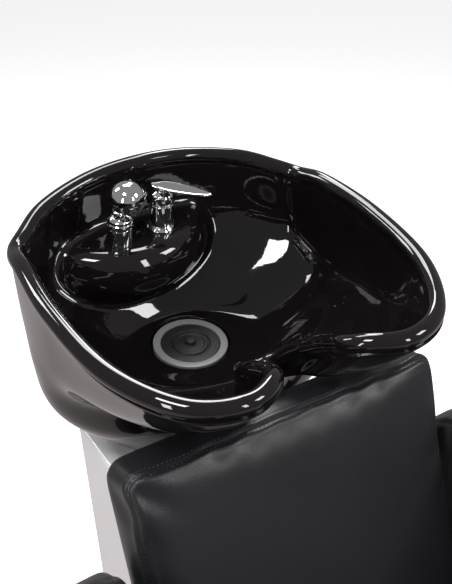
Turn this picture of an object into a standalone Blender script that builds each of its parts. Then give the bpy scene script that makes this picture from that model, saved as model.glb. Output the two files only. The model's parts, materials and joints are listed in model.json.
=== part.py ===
"""Salon backwash unit: a fixed upholstered seat with a tilting ceramic basin on a pedestal.

Everything is in metres. +Z is up, the sitter faces -Y, the basin is at the +Y end, and the
origin is on the floor under the middle of the unit. Basin parts are modelled in the basin's
own frame, whose origin is the middle of the drain ring's top face.
"""
import math

import bmesh
import bpy
import numpy as np
from mathutils import Matrix, Vector

# ---------------------------------------------------------------- driving dimensions
GAP = 0.0003                    # left between pieces that touch

# unit
DRAIN_Y = 0.370                # drain ring centre behind the origin
DRAIN_Z = 0.735                 # drain ring centre above the floor
REST_TILT = math.radians(4.6)   # basin leans towards the sitter at rest

# basin outline: crest of the rolled edge from the middle of the back to the middle of the
# neck notch, as x, y, z and the direction in degrees (0 back, 180 front) of the body below it
RIM_CREST = (
    (0.000, 0.170, 0.240, 0.0),
    (0.083, 0.166, 0.234, 25.0),
    (0.162, 0.137, 0.225, 47.0),
    (0.209, 0.099, 0.214, 62.0),
    (0.231, 0.074, 0.209, 70.0),
    (0.241, 0.020, 0.220, 83.0),
    (0.248, -0.088, 0.221, 106.0),
    (0.233, -0.212, 0.217, 130.0),
    (0.183, -0.298, 0.213, 147.0),
    (0.116, -0.326, 0.213, 158.0),
    (0.062, -0.295, 0.204, 164.0),
    (0.053, -0.245, 0.173, 168.0),
    (0.043, -0.207, 0.140, 172.0),
    (0.021, -0.180, 0.107, 176.5),
    (0.000, -0.174, 0.096, 180.0),
)
ROLL_RADIUS = 0.0125            # rolled edge
ROLL_TUCK = math.radians(40.0)  # how far the roll goes on below its widest point
CERAMIC = 0.009                 # wall of the basin
CENTRE_Y = -0.015               # middle of the basin's body, from the drain

# half width, reach to the back, reach to the front and height of the body's level outlines
OUTER_MID = (0.248, 0.178, 0.163, 0.050)
OUTER_LOW = (0.234, 0.172, 0.152, -0.012)
OUTER_FOOT = (0.182, 0.146, 0.128, -0.074)
INNER_MID = (0.208, 0.137, 0.148, 0.062)
INNER_FLOOR = (0.120, 0.095, 0.100, 0.010)
BASIN_COLUMNS = 64

# drain
DRAIN_RING_R = 0.0575           # grey ring round the drain
DRAIN_MOUTH_R = 0.046           # inside of the ring
DRAIN_TAIL_R = 0.028            # threaded tail of the drain
DRAIN_BORE_R = 0.0245
DRAIN_RING_T = 0.009
DRAIN_STEP = 0.0065             # depth of the seat that the strainer lies on
GASKET_T = 0.0012
RECESS_CLEARANCE = 0.004
TAIL_LENGTH = 0.062
DRAIN_NUT_R = 0.040
DRAIN_NUT_T = 0.010
STRAINER_T = 0.005
STRAINER_KNOB_R = 0.007
STRAINER_KNOB_H = 0.007

# tap shelf, a flat deck on a rounded body in the back left corner of the basin
SHELF_CENTRE = (-0.036, 0.180, 0.097)
SHELF_RADII = (0.150, 0.127, 0.078)
SHELF_TURN = math.radians(-10.0)
DECK_Z = 0.135                  # deck height over the drain, level with the drain
DECK_SLOPE = 0.045              # deck rises towards the back
MIXER_XY = (0.014, 0.119)
SPRAY_XY = (-0.062, 0.107)
CHUTE_SIZE = (0.120, 0.022, 0.150)   # way down for the pipes, behind the basin's wall
CHUTE_PLACE = (-0.030, 0.124, 0.010)

# mixer tap
MIXER_R = 0.0172
MIXER_FLANGE_R = 0.0225
MIXER_FLANGE_T = 0.006
MIXER_BODY_H = 0.040
MIXER_SHANK_R = 0.0130
MIXER_SHANK_L = 0.045
MIXER_NUT_R = 0.021
CAP_R = 0.0178
CAP_H = 0.019
# share of CAP_R and drop below CAP_H; the dome clears the lever's back as the lever lifts
CAP_DOME = ((0.0, 0.0), (0.45, 0.0008), (0.67, 0.0028), (0.87, 0.0050), (0.97, 0.0075), (1.0, 0.0110))
SLOT_DEPTH = 0.014              # slot in the cap for the lever's lug
LEVER_BACK = 0.018              # from the swivel axis back to the lever's round end
LEVER_REACH = 0.088             # from the swivel axis to the tip
LEVER_HALF = 0.0145
LEVER_TIP_HALF = 0.004
LEVER_T = 0.007
LEVER_TURN = math.radians(28.0)  # lever points forward and to the right
LEVER_RISE = math.radians(9.0)
LUG = (0.012, 0.010, 0.011)
LUG_CLEARANCE = 0.0004
LEVER_PIN_R = 0.0015

# hand spray
GUIDE_R = 0.0175
GUIDE_H = 0.030
GUIDE_BORE_R = 0.0090
GUIDE_SHANK_R = 0.0120
GUIDE_SHANK_L = 0.028
GUIDE_NUT_R = 0.0170
COLLAR_R = 0.0188
COLLAR_H = 0.019
HOSE_R = 0.0070
BALL_R = 0.026
BALL_OFFSET = (0.010, -0.005)
BALL_RISE = 0.0285              # ball centre above the collar
NIPPLE_R = 0.0080
FACE_R = 0.0140
FACE_T = 0.0040
FACE_REACH = 0.0215             # ball centre to the flat behind the spray face
FACE_AIM = (0.62, -0.60, -0.50)
SPRAY_TAIL = 0.055              # straight end of the hose under the deck
TAP_HOLE_CLEARANCE = 0.0015
NUT_T = 0.007
NUT_CLEARANCE = 0.0006

# tilt pivot under the basin
PIVOT_Y = -0.005                # from the drain
PIVOT_Z = -0.105
PIVOT_BOLT_R = 0.0060
PIVOT_CLEARANCE = 0.00015
PIVOT_HEAD_R = 0.0100
PIVOT_HEAD_T = 0.007
WASHER_R = 0.0160
WASHER_T = 0.0015
BRACKET_SIZE = (0.150, 0.130)
BRACKET_T = 0.006
BRACKET_EAR_X = 0.052           # middle of each ear of the basin's bracket
EAR_WIDTH = 0.036
YOKE_PLATE = (0.150, 0.140)
YOKE_T = 0.006
YOKE_HOLE_R = 0.026

# pedestal, from the drain
PEDESTAL_HALF = 0.181
PEDESTAL_FOOT_HALF = 0.159
PEDESTAL_FRONT = -0.165
PEDESTAL_BACK = 0.086
PEDESTAL_CORNER = 0.060
PEDESTAL_WALL = 0.005
PEDESTAL_TOP = -0.090           # highest point of the front wall
SADDLE_R = 1.000                # cradle cut into the top, about an axis along X
SADDLE_Y = -0.020
SADDLE_DEPTH = -0.114           # lowest point of the cradle
SADDLE_MOUTH = (0.190, 0.172, 0.200)  # opening for the yoke, the bracket and the pipes
SADDLE_MOUTH_Y = -0.014
DOOR_WIDTH = 0.180
DOOR_LOW = 0.090
DOOR_HIGH = 0.500
DOOR_GAP = 0.003
DOOR_T = 0.004
HINGE_R = 0.004
HINGE_LEAF = 0.014
HINGE_T = 0.0015
HINGE_KNUCKLES = 5
HINGE_INSET = 0.050             # hinge ends from the door's ends
LATCH_R = 0.012
LATCH_T = 0.006

# seat
SEAT_WIDTH = 0.500
SEAT_TOP = 0.455
SEAT_T = 0.095
SEAT_FRONT = -0.534
SEAT_BACK = -0.040
CUSHION_ROUND = 0.018
BOARD_T = 0.012
BACK_WIDTH = 0.492
BACK_T = 0.075
BACK_HEIGHT = 0.395
BACK_LEAN = math.radians(20.0)
BACK_TOP_Y = -0.266             # front top edge of the back cushion, from the drain
BACK_TOP_Z = 0.062
BOARD_MARGIN = 0.020            # boards are smaller than their cushions
ARM_GAP = 0.010
ARM_T = 0.075
ARM_TOP = 0.685
ARM_FRONT = -0.300
ARM_BACK = 0.150
ARM_BACK_CORNER = 0.120
ARM_FRONT_CORNER = 0.080
ARM_FOOT_CORNER = 0.020
ARM_ROUND = 0.012

# steel frame
TUBE_WALL = 0.002
RAIL = 0.030
RAIL_X = 0.200
RAIL_FRONT = -0.500
RAIL_BACK = 0.070
CROSS_FRONT_Y = -0.450
CROSS_AHEAD = 0.05693           # rear cross tube ahead of the uprights' feet
UPRIGHT_TOP = -0.130            # along the back cushion from its top
UPRIGHT_SINK = 0.03466          # foot of each upright's middle line below the rails' top
BEAM = 0.050
COLUMN = 0.070
COLUMN_BEHIND = -0.066          # column's middle, from the drain
COLUMN_FOOT_T = 0.010
COLUMN_FOOT = (0.240, 0.150)
ANCHOR_INSET = 0.020
LEG_Y = -0.400
FOOT_BAR = (0.420, 0.050, 0.040)
GLIDE_R = 0.018
GLIDE_H = 0.010
GLIDE_X = 0.180
BRACKET_BAR = (0.060, 0.007)    # arm brackets
BOLT_R = 0.006
BOLT_HEAD_R = 0.010
BOLT_HEAD_T = 0.006
BOLT_LENGTH = 0.010

# pipes inside the pedestal
PIPE_R = 0.016
WASTE_R = 0.019
TRAP_R = 0.030
TRAP_TOP = 0.430
TRAP_HEIGHT = 0.090
TRAP_Y = 0.012                  # from the drain
WASTE_BACK = 0.038              # waste pipe behind the trap
LOOP_ASIDE = 0.055              # loop of the spray hose, to the left of the spray
END_RUN = 0.003                 # straight bit at each end of a pipe
SUPPLY_R = 0.0045
SUPPLY_OFFSET = 0.0075           # hot and cold hoses from the mixer's middle
FITTING_R = 0.011
FITTING_H = 0.030
FITTING_X = 0.092
FITTING_Y = 0.052               # from the drain

# worked out from the sizes above
RECESS_DEPTH = DRAIN_RING_T + GASKET_T + 2.0 * GAP
UNDER_DRAIN = RECESS_DEPTH + CERAMIC
YOKE_EAR_X = BRACKET_EAR_X + BRACKET_T / 2.0 + WASHER_T + 2.0 * GAP + YOKE_T / 2.0
RAIL_TOP = SEAT_TOP - SEAT_T - BOARD_T - 2.0 * GAP
RAIL_LOW = RAIL_TOP - RAIL
UPRIGHT_Y = BACK_T + BOARD_T + 2.0 * GAP + RAIL / 2.0     # behind the back cushion's front
UPRIGHT_FOOT = (RAIL_TOP - UPRIGHT_SINK - DRAIN_Z - BACK_TOP_Z
                + UPRIGHT_Y * math.sin(BACK_LEAN)) / math.cos(BACK_LEAN)
CROSS_BACK_Y = (DRAIN_Y + BACK_TOP_Y + UPRIGHT_Y * math.cos(BACK_LEAN)
                + UPRIGHT_FOOT * math.sin(BACK_LEAN) - CROSS_AHEAD)
BEAM_TOP = RAIL_LOW - GAP
ARM_BOTTOM = RAIL_LOW
SADDLE_AXIS_Z = DRAIN_Z + SADDLE_DEPTH + SADDLE_R
YOKE_PLATE_Z = DRAIN_Z + PIVOT_Z - 0.048
COLUMN_TOP = YOKE_PLATE_Z - YOKE_T / 2.0 - GAP


# ---------------------------------------------------------------- scene helpers
def clear_scene():
    """Remove whatever the scene holds."""
    for item in list(bpy.data.objects):
        bpy.data.objects.remove(item, do_unlink=True)


def make_collection(name):
    """Add a collection to the scene."""
    collection = bpy.data.collections.new(name)
    bpy.context.scene.collection.children.link(collection)
    return collection


def make_material(name, colour, roughness, metallic=0.0):
    """A Principled material with one colour."""
    material = bpy.data.materials.new(name)
    material.use_nodes = True
    shader = material.node_tree.nodes["Principled BSDF"]
    shader.inputs["Base Color"].default_value = (*colour, 1.0)
    shader.inputs["Roughness"].default_value = roughness
    shader.inputs["Metallic"].default_value = metallic
    return material


def add_empty(name, location, rotation=(0.0, 0.0, 0.0), parent=None):
    """An empty that carries the pieces of one frame or joint."""
    empty = bpy.data.objects.new(name, None)
    PARTS.objects.link(empty)
    empty.parent = parent
    empty.location = location
    empty.rotation_euler = rotation
    return empty


def add_mesh(name, bm, material, location=(0.0, 0.0, 0.0), rotation=(0.0, 0.0, 0.0), parent=None,
             collection=None):
    """Turn a bmesh into a smooth-shaded object."""
    bmesh.ops.recalc_face_normals(bm, faces=bm.faces)
    mesh = bpy.data.meshes.new(name)
    bm.to_mesh(mesh)
    bm.free()
    mesh.shade_smooth()
    mesh.set_sharp_from_angle(angle=math.radians(35.0))
    item = bpy.data.objects.new(name, mesh)
    if material is not None:
        mesh.materials.append(material)
    (collection or PARTS).objects.link(item)
    item.parent = parent
    item.location = location
    item.rotation_euler = rotation
    return item


def hide_cutter(item):
    """Mark an object as a cutter, which is no part of the unit."""
    item.hide_render = True
    item.display_type = "WIRE"
    return item


def boolean(item, cutter, operation="DIFFERENCE"):
    """Combine a piece with a cutter."""
    modifier = item.modifiers.new(operation.title(), "BOOLEAN")
    modifier.operation = operation
    modifier.object = cutter
    modifier.solver = "EXACT"
    return item


def box_bmesh(size, bevel=0.0, segments=2):
    """A box about the origin with its edges rounded."""
    bm = bmesh.new()
    bmesh.ops.create_cube(bm, size=1.0)
    bmesh.ops.scale(bm, vec=Vector(size), verts=bm.verts)
    if bevel > 0.0:
        bmesh.ops.bevel(bm, geom=bm.edges[:], offset=bevel, segments=segments, profile=0.5,
                        affect="EDGES", material=-1)
    return bm


def add_box(name, size, location, material, bevel=0.0, segments=2, **place):
    """A box-shaped piece."""
    return add_mesh(name, box_bmesh(size, bevel, segments), material, location, **place)


def add_cylinder(name, radius, height, location, material, segments=24, **place):
    """A cylinder or cone about its own Z axis."""
    bm = bmesh.new()
    bmesh.ops.create_cone(bm, cap_ends=True, segments=segments, radius1=radius,
                          radius2=radius, depth=height)
    return add_mesh(name, bm, material, location, **place)


def add_turned(name, profile, material, location=(0.0, 0.0, 0.0), steps=24, **place):
    """A turned piece; its closed profile runs down the outer side and back up the inner one."""
    bm = bmesh.new()
    points = [bm.verts.new((radius, 0.0, height)) for radius, height in profile]
    on_axis = profile[0][0] == 0.0
    for first, second in zip(points, points[1:] if on_axis else points[1:] + points[:1]):
        bm.edges.new((first, second))
    mesh = bpy.data.meshes.new(name)
    bm.to_mesh(mesh)
    bm.free()
    mesh.materials.append(material)
    item = bpy.data.objects.new(name, mesh)
    place.get("collection", PARTS).objects.link(item)
    item.parent = place.get("parent")
    item.location = location
    item.rotation_euler = place.get("rotation", (0.0, 0.0, 0.0))
    screw = item.modifiers.new("Turn", "SCREW")
    screw.angle = math.tau
    screw.steps = steps
    screw.render_steps = steps
    screw.use_merge_vertices = True
    screw.merge_threshold = 0.00001
    screw.use_smooth_shade = True
    return item


def smooth_route(points, count):
    """Points evenly spread along a smooth curve through the given ones."""
    route = np.array([catmull_rom(points, u)
                      for u in np.linspace(0.0, len(points) - 1.0, 24 * len(points))])
    lengths = np.concatenate([[0.0], np.cumsum(np.linalg.norm(np.diff(route, axis=0), axis=1))])
    places = np.linspace(0.0, lengths[-1], count)
    places = np.concatenate([[0.0, END_RUN], places[1:-1], [lengths[-1] - END_RUN, lengths[-1]]])
    return np.stack([np.interp(places, lengths, route[:, axis]) for axis in range(3)], axis=1)


def catmull_rom(points, u):
    """A point on the Catmull-Rom curve through the points, at parameter u."""
    last = len(points) - 1
    index = min(int(u), last - 1)
    f = u - index
    p1, p2 = np.array(points[index]), np.array(points[index + 1])
    p0 = np.array(points[index - 1]) if index > 0 else 2.0 * p1 - p2
    p3 = np.array(points[index + 2]) if index + 2 <= last else 2.0 * p2 - p1
    return 0.5 * (2.0 * p1 + (p2 - p0) * f + (2.0 * p0 - 5.0 * p1 + 4.0 * p2 - p3) * f * f
                  + (3.0 * p1 - p0 - 3.0 * p2 + p3) * f ** 3)


def add_tube(name, points, radius, material, count=16, parent=None, resolution=2):
    """A solid round hose or bar along a smooth route."""
    curve = bpy.data.curves.new(name, "CURVE")
    curve.dimensions = "3D"
    curve.bevel_depth = radius
    curve.bevel_resolution = resolution
    curve.use_fill_caps = True
    spline = curve.splines.new("POLY")
    route = smooth_route(points, count)
    spline.points.add(len(route) - 1)
    for target, point in zip(spline.points, route):
        target.co = (*point, 1.0)
    curve.materials.append(material)
    item = bpy.data.objects.new(name, curve)
    PARTS.objects.link(item)
    item.parent = parent
    return item


def outline_prism(points, thickness):
    """A flat outline in X and Z, extruded along Y about the origin."""
    bm = bmesh.new()
    half = thickness / 2.0
    face = bm.faces.new([bm.verts.new((x, -half, z)) for x, z in points])
    grown = bmesh.ops.extrude_face_region(bm, geom=[face])
    moved = [item for item in grown["geom"] if isinstance(item, bmesh.types.BMVert)]
    bmesh.ops.translate(bm, vec=(0.0, thickness, 0.0), verts=moved)
    return bm


def arc(centre, radius, start, end, count):
    """Points on an arc, angles in degrees."""
    return [(centre[0] + radius * math.cos(math.radians(angle)),
             centre[1] + radius * math.sin(math.radians(angle)))
            for angle in np.linspace(start, end, count)]


def rounded_rectangle(half_x, low_y, high_y, radius, steps=6):
    """Corner-rounded outline in plan, anticlockwise."""
    return (arc((half_x - radius, high_y - radius), radius, 0.0, 90.0, steps)
            + arc((radius - half_x, high_y - radius), radius, 90.0, 180.0, steps)
            + arc((radius - half_x, low_y + radius), radius, 180.0, 270.0, steps)
            + arc((half_x - radius, low_y + radius), radius, 270.0, 360.0, steps))


def loft(rings, closed_ends):
    """Bridge equal rings of points; the ends are capped, or joined when the loft closes on itself."""
    bm = bmesh.new()
    rows = [[bm.verts.new(point) for point in ring] for ring in rings]
    count = len(rows[0])
    pairs = list(zip(rows, rows[1:]))
    if closed_ends == "join":
        pairs.append((rows[-1], rows[0]))
    for low, high in pairs:
        for index in range(count):
            after = (index + 1) % count
            bm.faces.new((low[index], low[after], high[after], high[index]))
    if closed_ends == "cap":
        for row in (rows[0], rows[-1]):
            bm.faces.new(row)
    return bm


# ---------------------------------------------------------------- basin surfaces
def rim_columns():
    """Crest points, outward directions and up directions of the rolled edge, all the way round."""
    half = smooth_rim(BASIN_COLUMNS // 2)
    mirrored = [(-x, y, z, 360.0 - angle) for x, y, z, angle in half[-2:0:-1]]
    ring = np.array([tuple(row) for row in half] + mirrored)
    crest, angles = ring[:, :3], ring[:, 3]
    along = np.roll(crest, -1, axis=0) - np.roll(crest, 1, axis=0)
    outward = np.stack([-along[:, 1], along[:, 0], np.zeros(len(along))], axis=1)
    outward /= np.linalg.norm(outward, axis=1)[:, None]
    along /= np.linalg.norm(along, axis=1)[:, None]
    upward = np.cross(outward, along)
    upward *= np.sign(upward[:, 2])[:, None]
    return crest, angles, outward, upward


def smooth_rim(steps):
    """Half of the crest, evenly spaced along its length, with the body direction of each point."""
    before, after = RIM_CREST[1], RIM_CREST[-2]
    points = [(-before[0], *before[1:3], -before[3]), *RIM_CREST,
              (-after[0], *after[1:3], 360.0 - after[3])]
    dense = np.array([catmull_rom(points, u)
                      for u in np.linspace(1.0, len(points) - 2.0, 40 * len(points))])
    lengths = np.concatenate([[0.0], np.cumsum(np.linalg.norm(np.diff(dense[:, :3], axis=0), axis=1))])
    places = np.linspace(0.0, lengths[-1], steps + 1)
    return [[np.interp(place, lengths, dense[:, axis]) for axis in range(4)] for place in places]


def level_outline(outline, angles, inset=0.0, drop=0.0):
    """A level ring of the basin's body, one point for each column."""
    half, back, front, height = outline
    turn = np.radians(angles)
    reach = np.where(np.cos(turn) > 0.0, back, front) - inset
    return np.stack([(half - inset) * np.sin(turn), CENTRE_Y + reach * np.cos(turn),
                     np.full(len(turn), height - drop)], axis=1)


def ring_at(radius, height, angles):
    """A circle round the drain, one point for each column."""
    turn = np.radians(angles)
    return np.stack([radius * np.sin(turn), radius * np.cos(turn), np.full(len(turn), height)], axis=1)


def between(stations, count):
    """Rings along a smooth curve through station rings."""
    return [catmull_rom(stations, u) for u in np.linspace(0.0, len(stations) - 1.0, count)]


def basin_stations():
    """The rings that shape the basin, shared by the shell and by what is cut to fit it."""
    crest, angles, outward, upward = rim_columns()
    middle = crest - ROLL_RADIUS * upward
    start, end = math.pi + ROLL_TUCK, -ROLL_TUCK
    roll = [middle + ROLL_RADIUS * (math.cos(turn) * outward + math.sin(turn) * upward)
            for turn in np.linspace(start, end, 8)]
    cove = roll[-1] - 0.002 * outward - 0.010 * upward
    outer_mid = level_outline(OUTER_MID, angles)
    outer_mid[:, 2] = np.minimum(outer_mid[:, 2], cove[:, 2] - 0.020)
    belly = cove * (0.60, 0.60, 0.42) + outer_mid * (0.40, 0.40, 0.58)
    low = level_outline(OUTER_LOW, angles)
    foot = level_outline(OUTER_FOOT, angles)
    outer = [roll[-1], cove, belly, outer_mid, low, foot]
    inner_mid = level_outline(INNER_MID, angles)
    inner_belly = belly - 0.012 * outward + (0.0, 0.0, 0.006)
    mouth = ring_at(DRAIN_RING_R + RECESS_CLEARANCE + 0.0015, 0.0, angles)
    inner = [mouth, level_outline(INNER_FLOOR, angles), inner_mid, inner_belly, roll[0]]
    return angles, roll, outer, inner


def basin_shell():
    """The basin's ceramic body as one wall, open underneath."""
    angles, roll, outer, inner = basin_stations()
    recess = DRAIN_RING_R + RECESS_CLEARANCE
    hole = DRAIN_TAIL_R + 0.004
    rings = [ring_at(hole, -RECESS_DEPTH, angles), ring_at(recess, -RECESS_DEPTH, angles)]
    rings += between(inner, 16)
    rings += roll[1:-1]
    rings += between(outer, 15)
    under = [level_outline(OUTER_FOOT, angles, CERAMIC),
             level_outline(OUTER_LOW, angles, CERAMIC),
             level_outline(INNER_MID, angles, 0.004, 0.030),
             level_outline(INNER_FLOOR, angles, 0.0, 0.016),
             ring_at(recess, -RECESS_DEPTH - CERAMIC, angles)]
    rings += between(under, 9)
    rings.append(ring_at(hole, -RECESS_DEPTH - CERAMIC, angles))
    return loft(rings, "join")


def basin_envelope(inset):
    """A closed solid inside the basin's outer surface, used to trim the tap shelf."""
    angles, _, outer, _ = basin_stations()
    rings = between(outer, 10)
    outward = np.stack([np.sin(np.radians(angles)), np.cos(np.radians(angles)), 0.0 * angles], axis=1)
    rings = [ring - inset * outward for ring in rings]
    bm = loft(rings, "open")
    ends = [edge for edge in bm.edges if edge.is_boundary]
    for sign, peak in ((1.0, (0.0, -0.03, 0.16)), (-1.0, (0.0, -0.02, OUTER_FOOT[3]))):
        ring = [edge for edge in ends if sign * (edge.verts[0].co.z - OUTER_LOW[3]) > 0.0]
        tip = bm.verts.new(peak)
        for edge in ring:
            bm.faces.new((*edge.verts, tip))
    return bm


def shelf_body(shrink):
    """The rounded body under the tap deck."""
    bm = bmesh.new()
    bmesh.ops.create_uvsphere(bm, u_segments=36, v_segments=18, radius=1.0)
    radii = [radius - shrink for radius in SHELF_RADII]
    place = (Matrix.Translation(SHELF_CENTRE) @ Matrix.Rotation(SHELF_TURN, 4, "Z")
             @ Matrix.Diagonal((*radii, 1.0)))
    bmesh.ops.transform(bm, matrix=place, verts=bm.verts)
    deck = Vector((0.0, 0.0, DECK_Z - shrink))
    normal = Vector((0.0, -DECK_SLOPE, 1.0)).normalized()
    geometry = bm.verts[:] + bm.edges[:] + bm.faces[:]
    bmesh.ops.bisect_plane(bm, geom=geometry, plane_co=deck, plane_no=normal, clear_outer=True)
    bmesh.ops.holes_fill(bm, edges=[edge for edge in bm.edges if edge.is_boundary])
    return bm


def deck_height(place):
    """Height of the tap deck in the basin frame."""
    return DECK_Z + DECK_SLOPE * place[1]


def build_basin(frame):
    """The basin with its tap shelf, tap holes and drain hole."""
    basin = add_mesh("basin", basin_shell(), GLAZE, parent=frame)
    place = {"parent": frame, "collection": CUTTERS}
    shelf = add_mesh("shelf_body", shelf_body(0.0), None, **place)
    envelope = add_mesh("shelf_limit", basin_envelope(0.004), None, **place)
    hollow = add_mesh("shelf_hollow", shelf_body(CERAMIC), None, **place)
    hollow_limit = add_mesh("hollow_limit", basin_envelope(CERAMIC), None, **place)
    chute = add_box("pipe_chute", CHUTE_SIZE, CHUTE_PLACE, None, **place)
    for cutter in (shelf, envelope, hollow, hollow_limit, chute):
        hide_cutter(cutter)
    boolean(shelf, envelope, "INTERSECT")
    boolean(hollow, chute, "UNION")
    boolean(hollow, hollow_limit, "INTERSECT")
    boolean(basin, shelf, "UNION")
    boolean(basin, hollow)
    for name, spot, shank in (("mixer_hole", MIXER_XY, MIXER_SHANK_R),
                              ("spray_hole", SPRAY_XY, GUIDE_SHANK_R)):
        hole = add_cylinder(name, shank + TAP_HOLE_CLEARANCE, 0.060, (*spot, deck_height(spot)), None,
                            rotation=(math.atan(DECK_SLOPE), 0.0, 0.0), **place)
        boolean(basin, hide_cutter(hole))


def build_drain(frame):
    """Grey drain ring with its tail, gasket and nut, and the rubber strainer."""
    seat = -DRAIN_STEP
    under = -DRAIN_RING_T
    add_turned("drain_ring", [(DRAIN_MOUTH_R + 0.001, 0.0), (DRAIN_RING_R - 0.001, 0.0),
                              (DRAIN_RING_R, -0.001), (DRAIN_RING_R, under), (DRAIN_TAIL_R, under),
                              (DRAIN_TAIL_R, -TAIL_LENGTH), (DRAIN_BORE_R, -TAIL_LENGTH),
                              (DRAIN_BORE_R, seat), (DRAIN_MOUTH_R, seat), (DRAIN_MOUTH_R, -0.001)],
               RING_GREY, steps=40, parent=frame)
    top = under - GAP
    low = top - GASKET_T
    add_turned("drain_gasket", [(DRAIN_RING_R - 0.003, top), (DRAIN_RING_R - 0.003, low),
                                (DRAIN_TAIL_R + 0.003 + GAP, low), (DRAIN_TAIL_R + 0.003 + GAP, top)],
               RUBBER, parent=frame)
    top = -UNDER_DRAIN - BRACKET_T - 2.0 * GAP
    bore = DRAIN_TAIL_R + NUT_CLEARANCE
    add_turned("drain_nut", [(DRAIN_NUT_R, top), (DRAIN_NUT_R, top - DRAIN_NUT_T),
                             (bore, top - DRAIN_NUT_T), (bore, top)],
               PLASTIC_DARK, steps=24, parent=frame)
    low = seat + GAP
    top = low + STRAINER_T
    rim = DRAIN_MOUTH_R - 0.0007
    groove = (0.030, 0.027)
    add_turned("strainer", [(0.0, top + STRAINER_KNOB_H), (STRAINER_KNOB_R - 0.002, top + STRAINER_KNOB_H),
                            (STRAINER_KNOB_R, top + STRAINER_KNOB_H - 0.002), (STRAINER_KNOB_R, top - 0.001),
                            (groove[1], top - 0.001), (groove[1] + 0.001, top - 0.0025),
                            (groove[0] - 0.001, top - 0.0025), (groove[0], top),
                            (rim - 0.001, top), (rim, top - 0.001), (rim, low), (0.0, low)],
               RUBBER, steps=36, parent=frame)


def build_mixer(frame):
    """Single-lever mixer tap on the deck: flange, body, nut, turning cap and lifting lever."""
    deck = add_empty("mixer_seat", (*MIXER_XY, deck_height(MIXER_XY)), (math.atan(DECK_SLOPE), 0.0, 0.0),
                     frame)
    top = MIXER_FLANGE_T
    add_turned("mixer_flange", [(MIXER_FLANGE_R - 0.0025, top), (MIXER_FLANGE_R, top - 0.0025),
                                (MIXER_FLANGE_R, GAP), (MIXER_SHANK_R + GAP, GAP),
                                (MIXER_SHANK_R + GAP, top)], CHROME, steps=28, parent=deck)
    low = top + GAP
    top = low + MIXER_BODY_H
    add_turned("mixer_body", [(0.0, top), (MIXER_R - 0.001, top), (MIXER_R, top - 0.001), (MIXER_R, low),
                              (MIXER_SHANK_R, low), (MIXER_SHANK_R, -MIXER_SHANK_L),
                              (0.0, -MIXER_SHANK_L)], CHROME, steps=28, parent=deck)
    add_nut("mixer_nut", MIXER_SHANK_R, MIXER_NUT_R, deck)
    swivel = add_empty("mixer_swivel", (0.0, 0.0, top + GAP), (0.0, 0.0, LEVER_TURN - math.pi / 2.0), deck)
    cap = add_turned("mixer_cap", [(CAP_R * share, CAP_H - drop) for share, drop in CAP_DOME]
                     + [(CAP_R, 0.0), (0.0, 0.0)], CHROME, steps=28, parent=swivel)
    slot = add_box("cap_slot", (0.060, LUG[1] + 2.0 * LUG_CLEARANCE, SLOT_DEPTH + 0.003),
                   (0.024 - LUG[0] / 2.0, 0.0, CAP_H - SLOT_DEPTH / 2.0 + 0.0015), None, parent=swivel,
                   collection=CUTTERS)
    boolean(cap, hide_cutter(slot))
    bore = add_cylinder("cap_pin_bore", LEVER_PIN_R + LUG_CLEARANCE / 2.0, 0.05, (0.0, 0.0, CAP_H - 0.006),
                        None, segments=12, rotation=(math.pi / 2.0, 0.0, 0.0), parent=swivel,
                        collection=CUTTERS)
    boolean(cap, hide_cutter(bore))
    hinge = add_empty("lever_hinge", (0.0, 0.0, CAP_H - 0.006), (0.0, 0.0, 0.0), swivel)
    add_cylinder("lever_pin", LEVER_PIN_R, 0.026, (0.0, 0.0, 0.0), CHROME, segments=12,
                 rotation=(math.pi / 2.0, 0.0, 0.0), parent=hinge)
    lever = add_mesh("mixer_lever", lever_bmesh(), CHROME, parent=hinge)
    lug = add_box("lever_lug", (LUG[0] - 0.001, LUG[1], LUG[2] + 0.004), (0.0, 0.0, 0.0028), None,
                  parent=hinge, collection=CUTTERS)
    boolean(lever, hide_cutter(lug), "UNION")
    bore = add_cylinder("lever_pin_bore", LEVER_PIN_R + LUG_CLEARANCE / 2.0, 0.05, (0.0, 0.0, 0.0), None,
                        segments=12, rotation=(math.pi / 2.0, 0.0, 0.0), parent=hinge, collection=CUTTERS)
    boolean(lever, hide_cutter(bore))


def lever_bmesh():
    """The leaf-shaped lever, rising towards its tip; +X runs along it from the hinge."""
    outline = arc((0.0, 0.0), LEVER_BACK, 110.0, 250.0, 9)
    side = [(x, -LEVER_TIP_HALF - (LEVER_HALF - LEVER_TIP_HALF) * math.cos(x / LEVER_REACH * math.pi / 2.0))
            for x in np.linspace(0.012, LEVER_REACH - 0.003, 6)]
    outline += side + [(LEVER_REACH, 0.0)] + [(x, -y) for x, y in reversed(side)]
    bm = bmesh.new()
    face = bm.faces.new([bm.verts.new((x, y * LEVER_HALF / LEVER_BACK if x < 0.0 else y, 0.0))
                         for x, y in outline])
    grown = bmesh.ops.extrude_face_region(bm, geom=[face])
    moved = [item for item in grown["geom"] if isinstance(item, bmesh.types.BMVert)]
    bmesh.ops.translate(bm, vec=(0.0, 0.0, LEVER_T), verts=moved)
    bmesh.ops.transform(bm, matrix=Matrix.Translation((0.0, 0.0, 0.0064 + 0.0028))
                        @ Matrix.Rotation(-LEVER_RISE, 4, "Y"), verts=bm.verts)
    return bm


def add_nut(name, shank, radius, deck):
    """A round nut under the deck."""
    top = -CERAMIC - 2.0 * GAP
    bore = shank + NUT_CLEARANCE
    add_turned(name, [(radius, top), (radius, top - NUT_T), (bore, top - NUT_T), (bore, top)],
               PLASTIC_DARK, steps=24, parent=deck)


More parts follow.
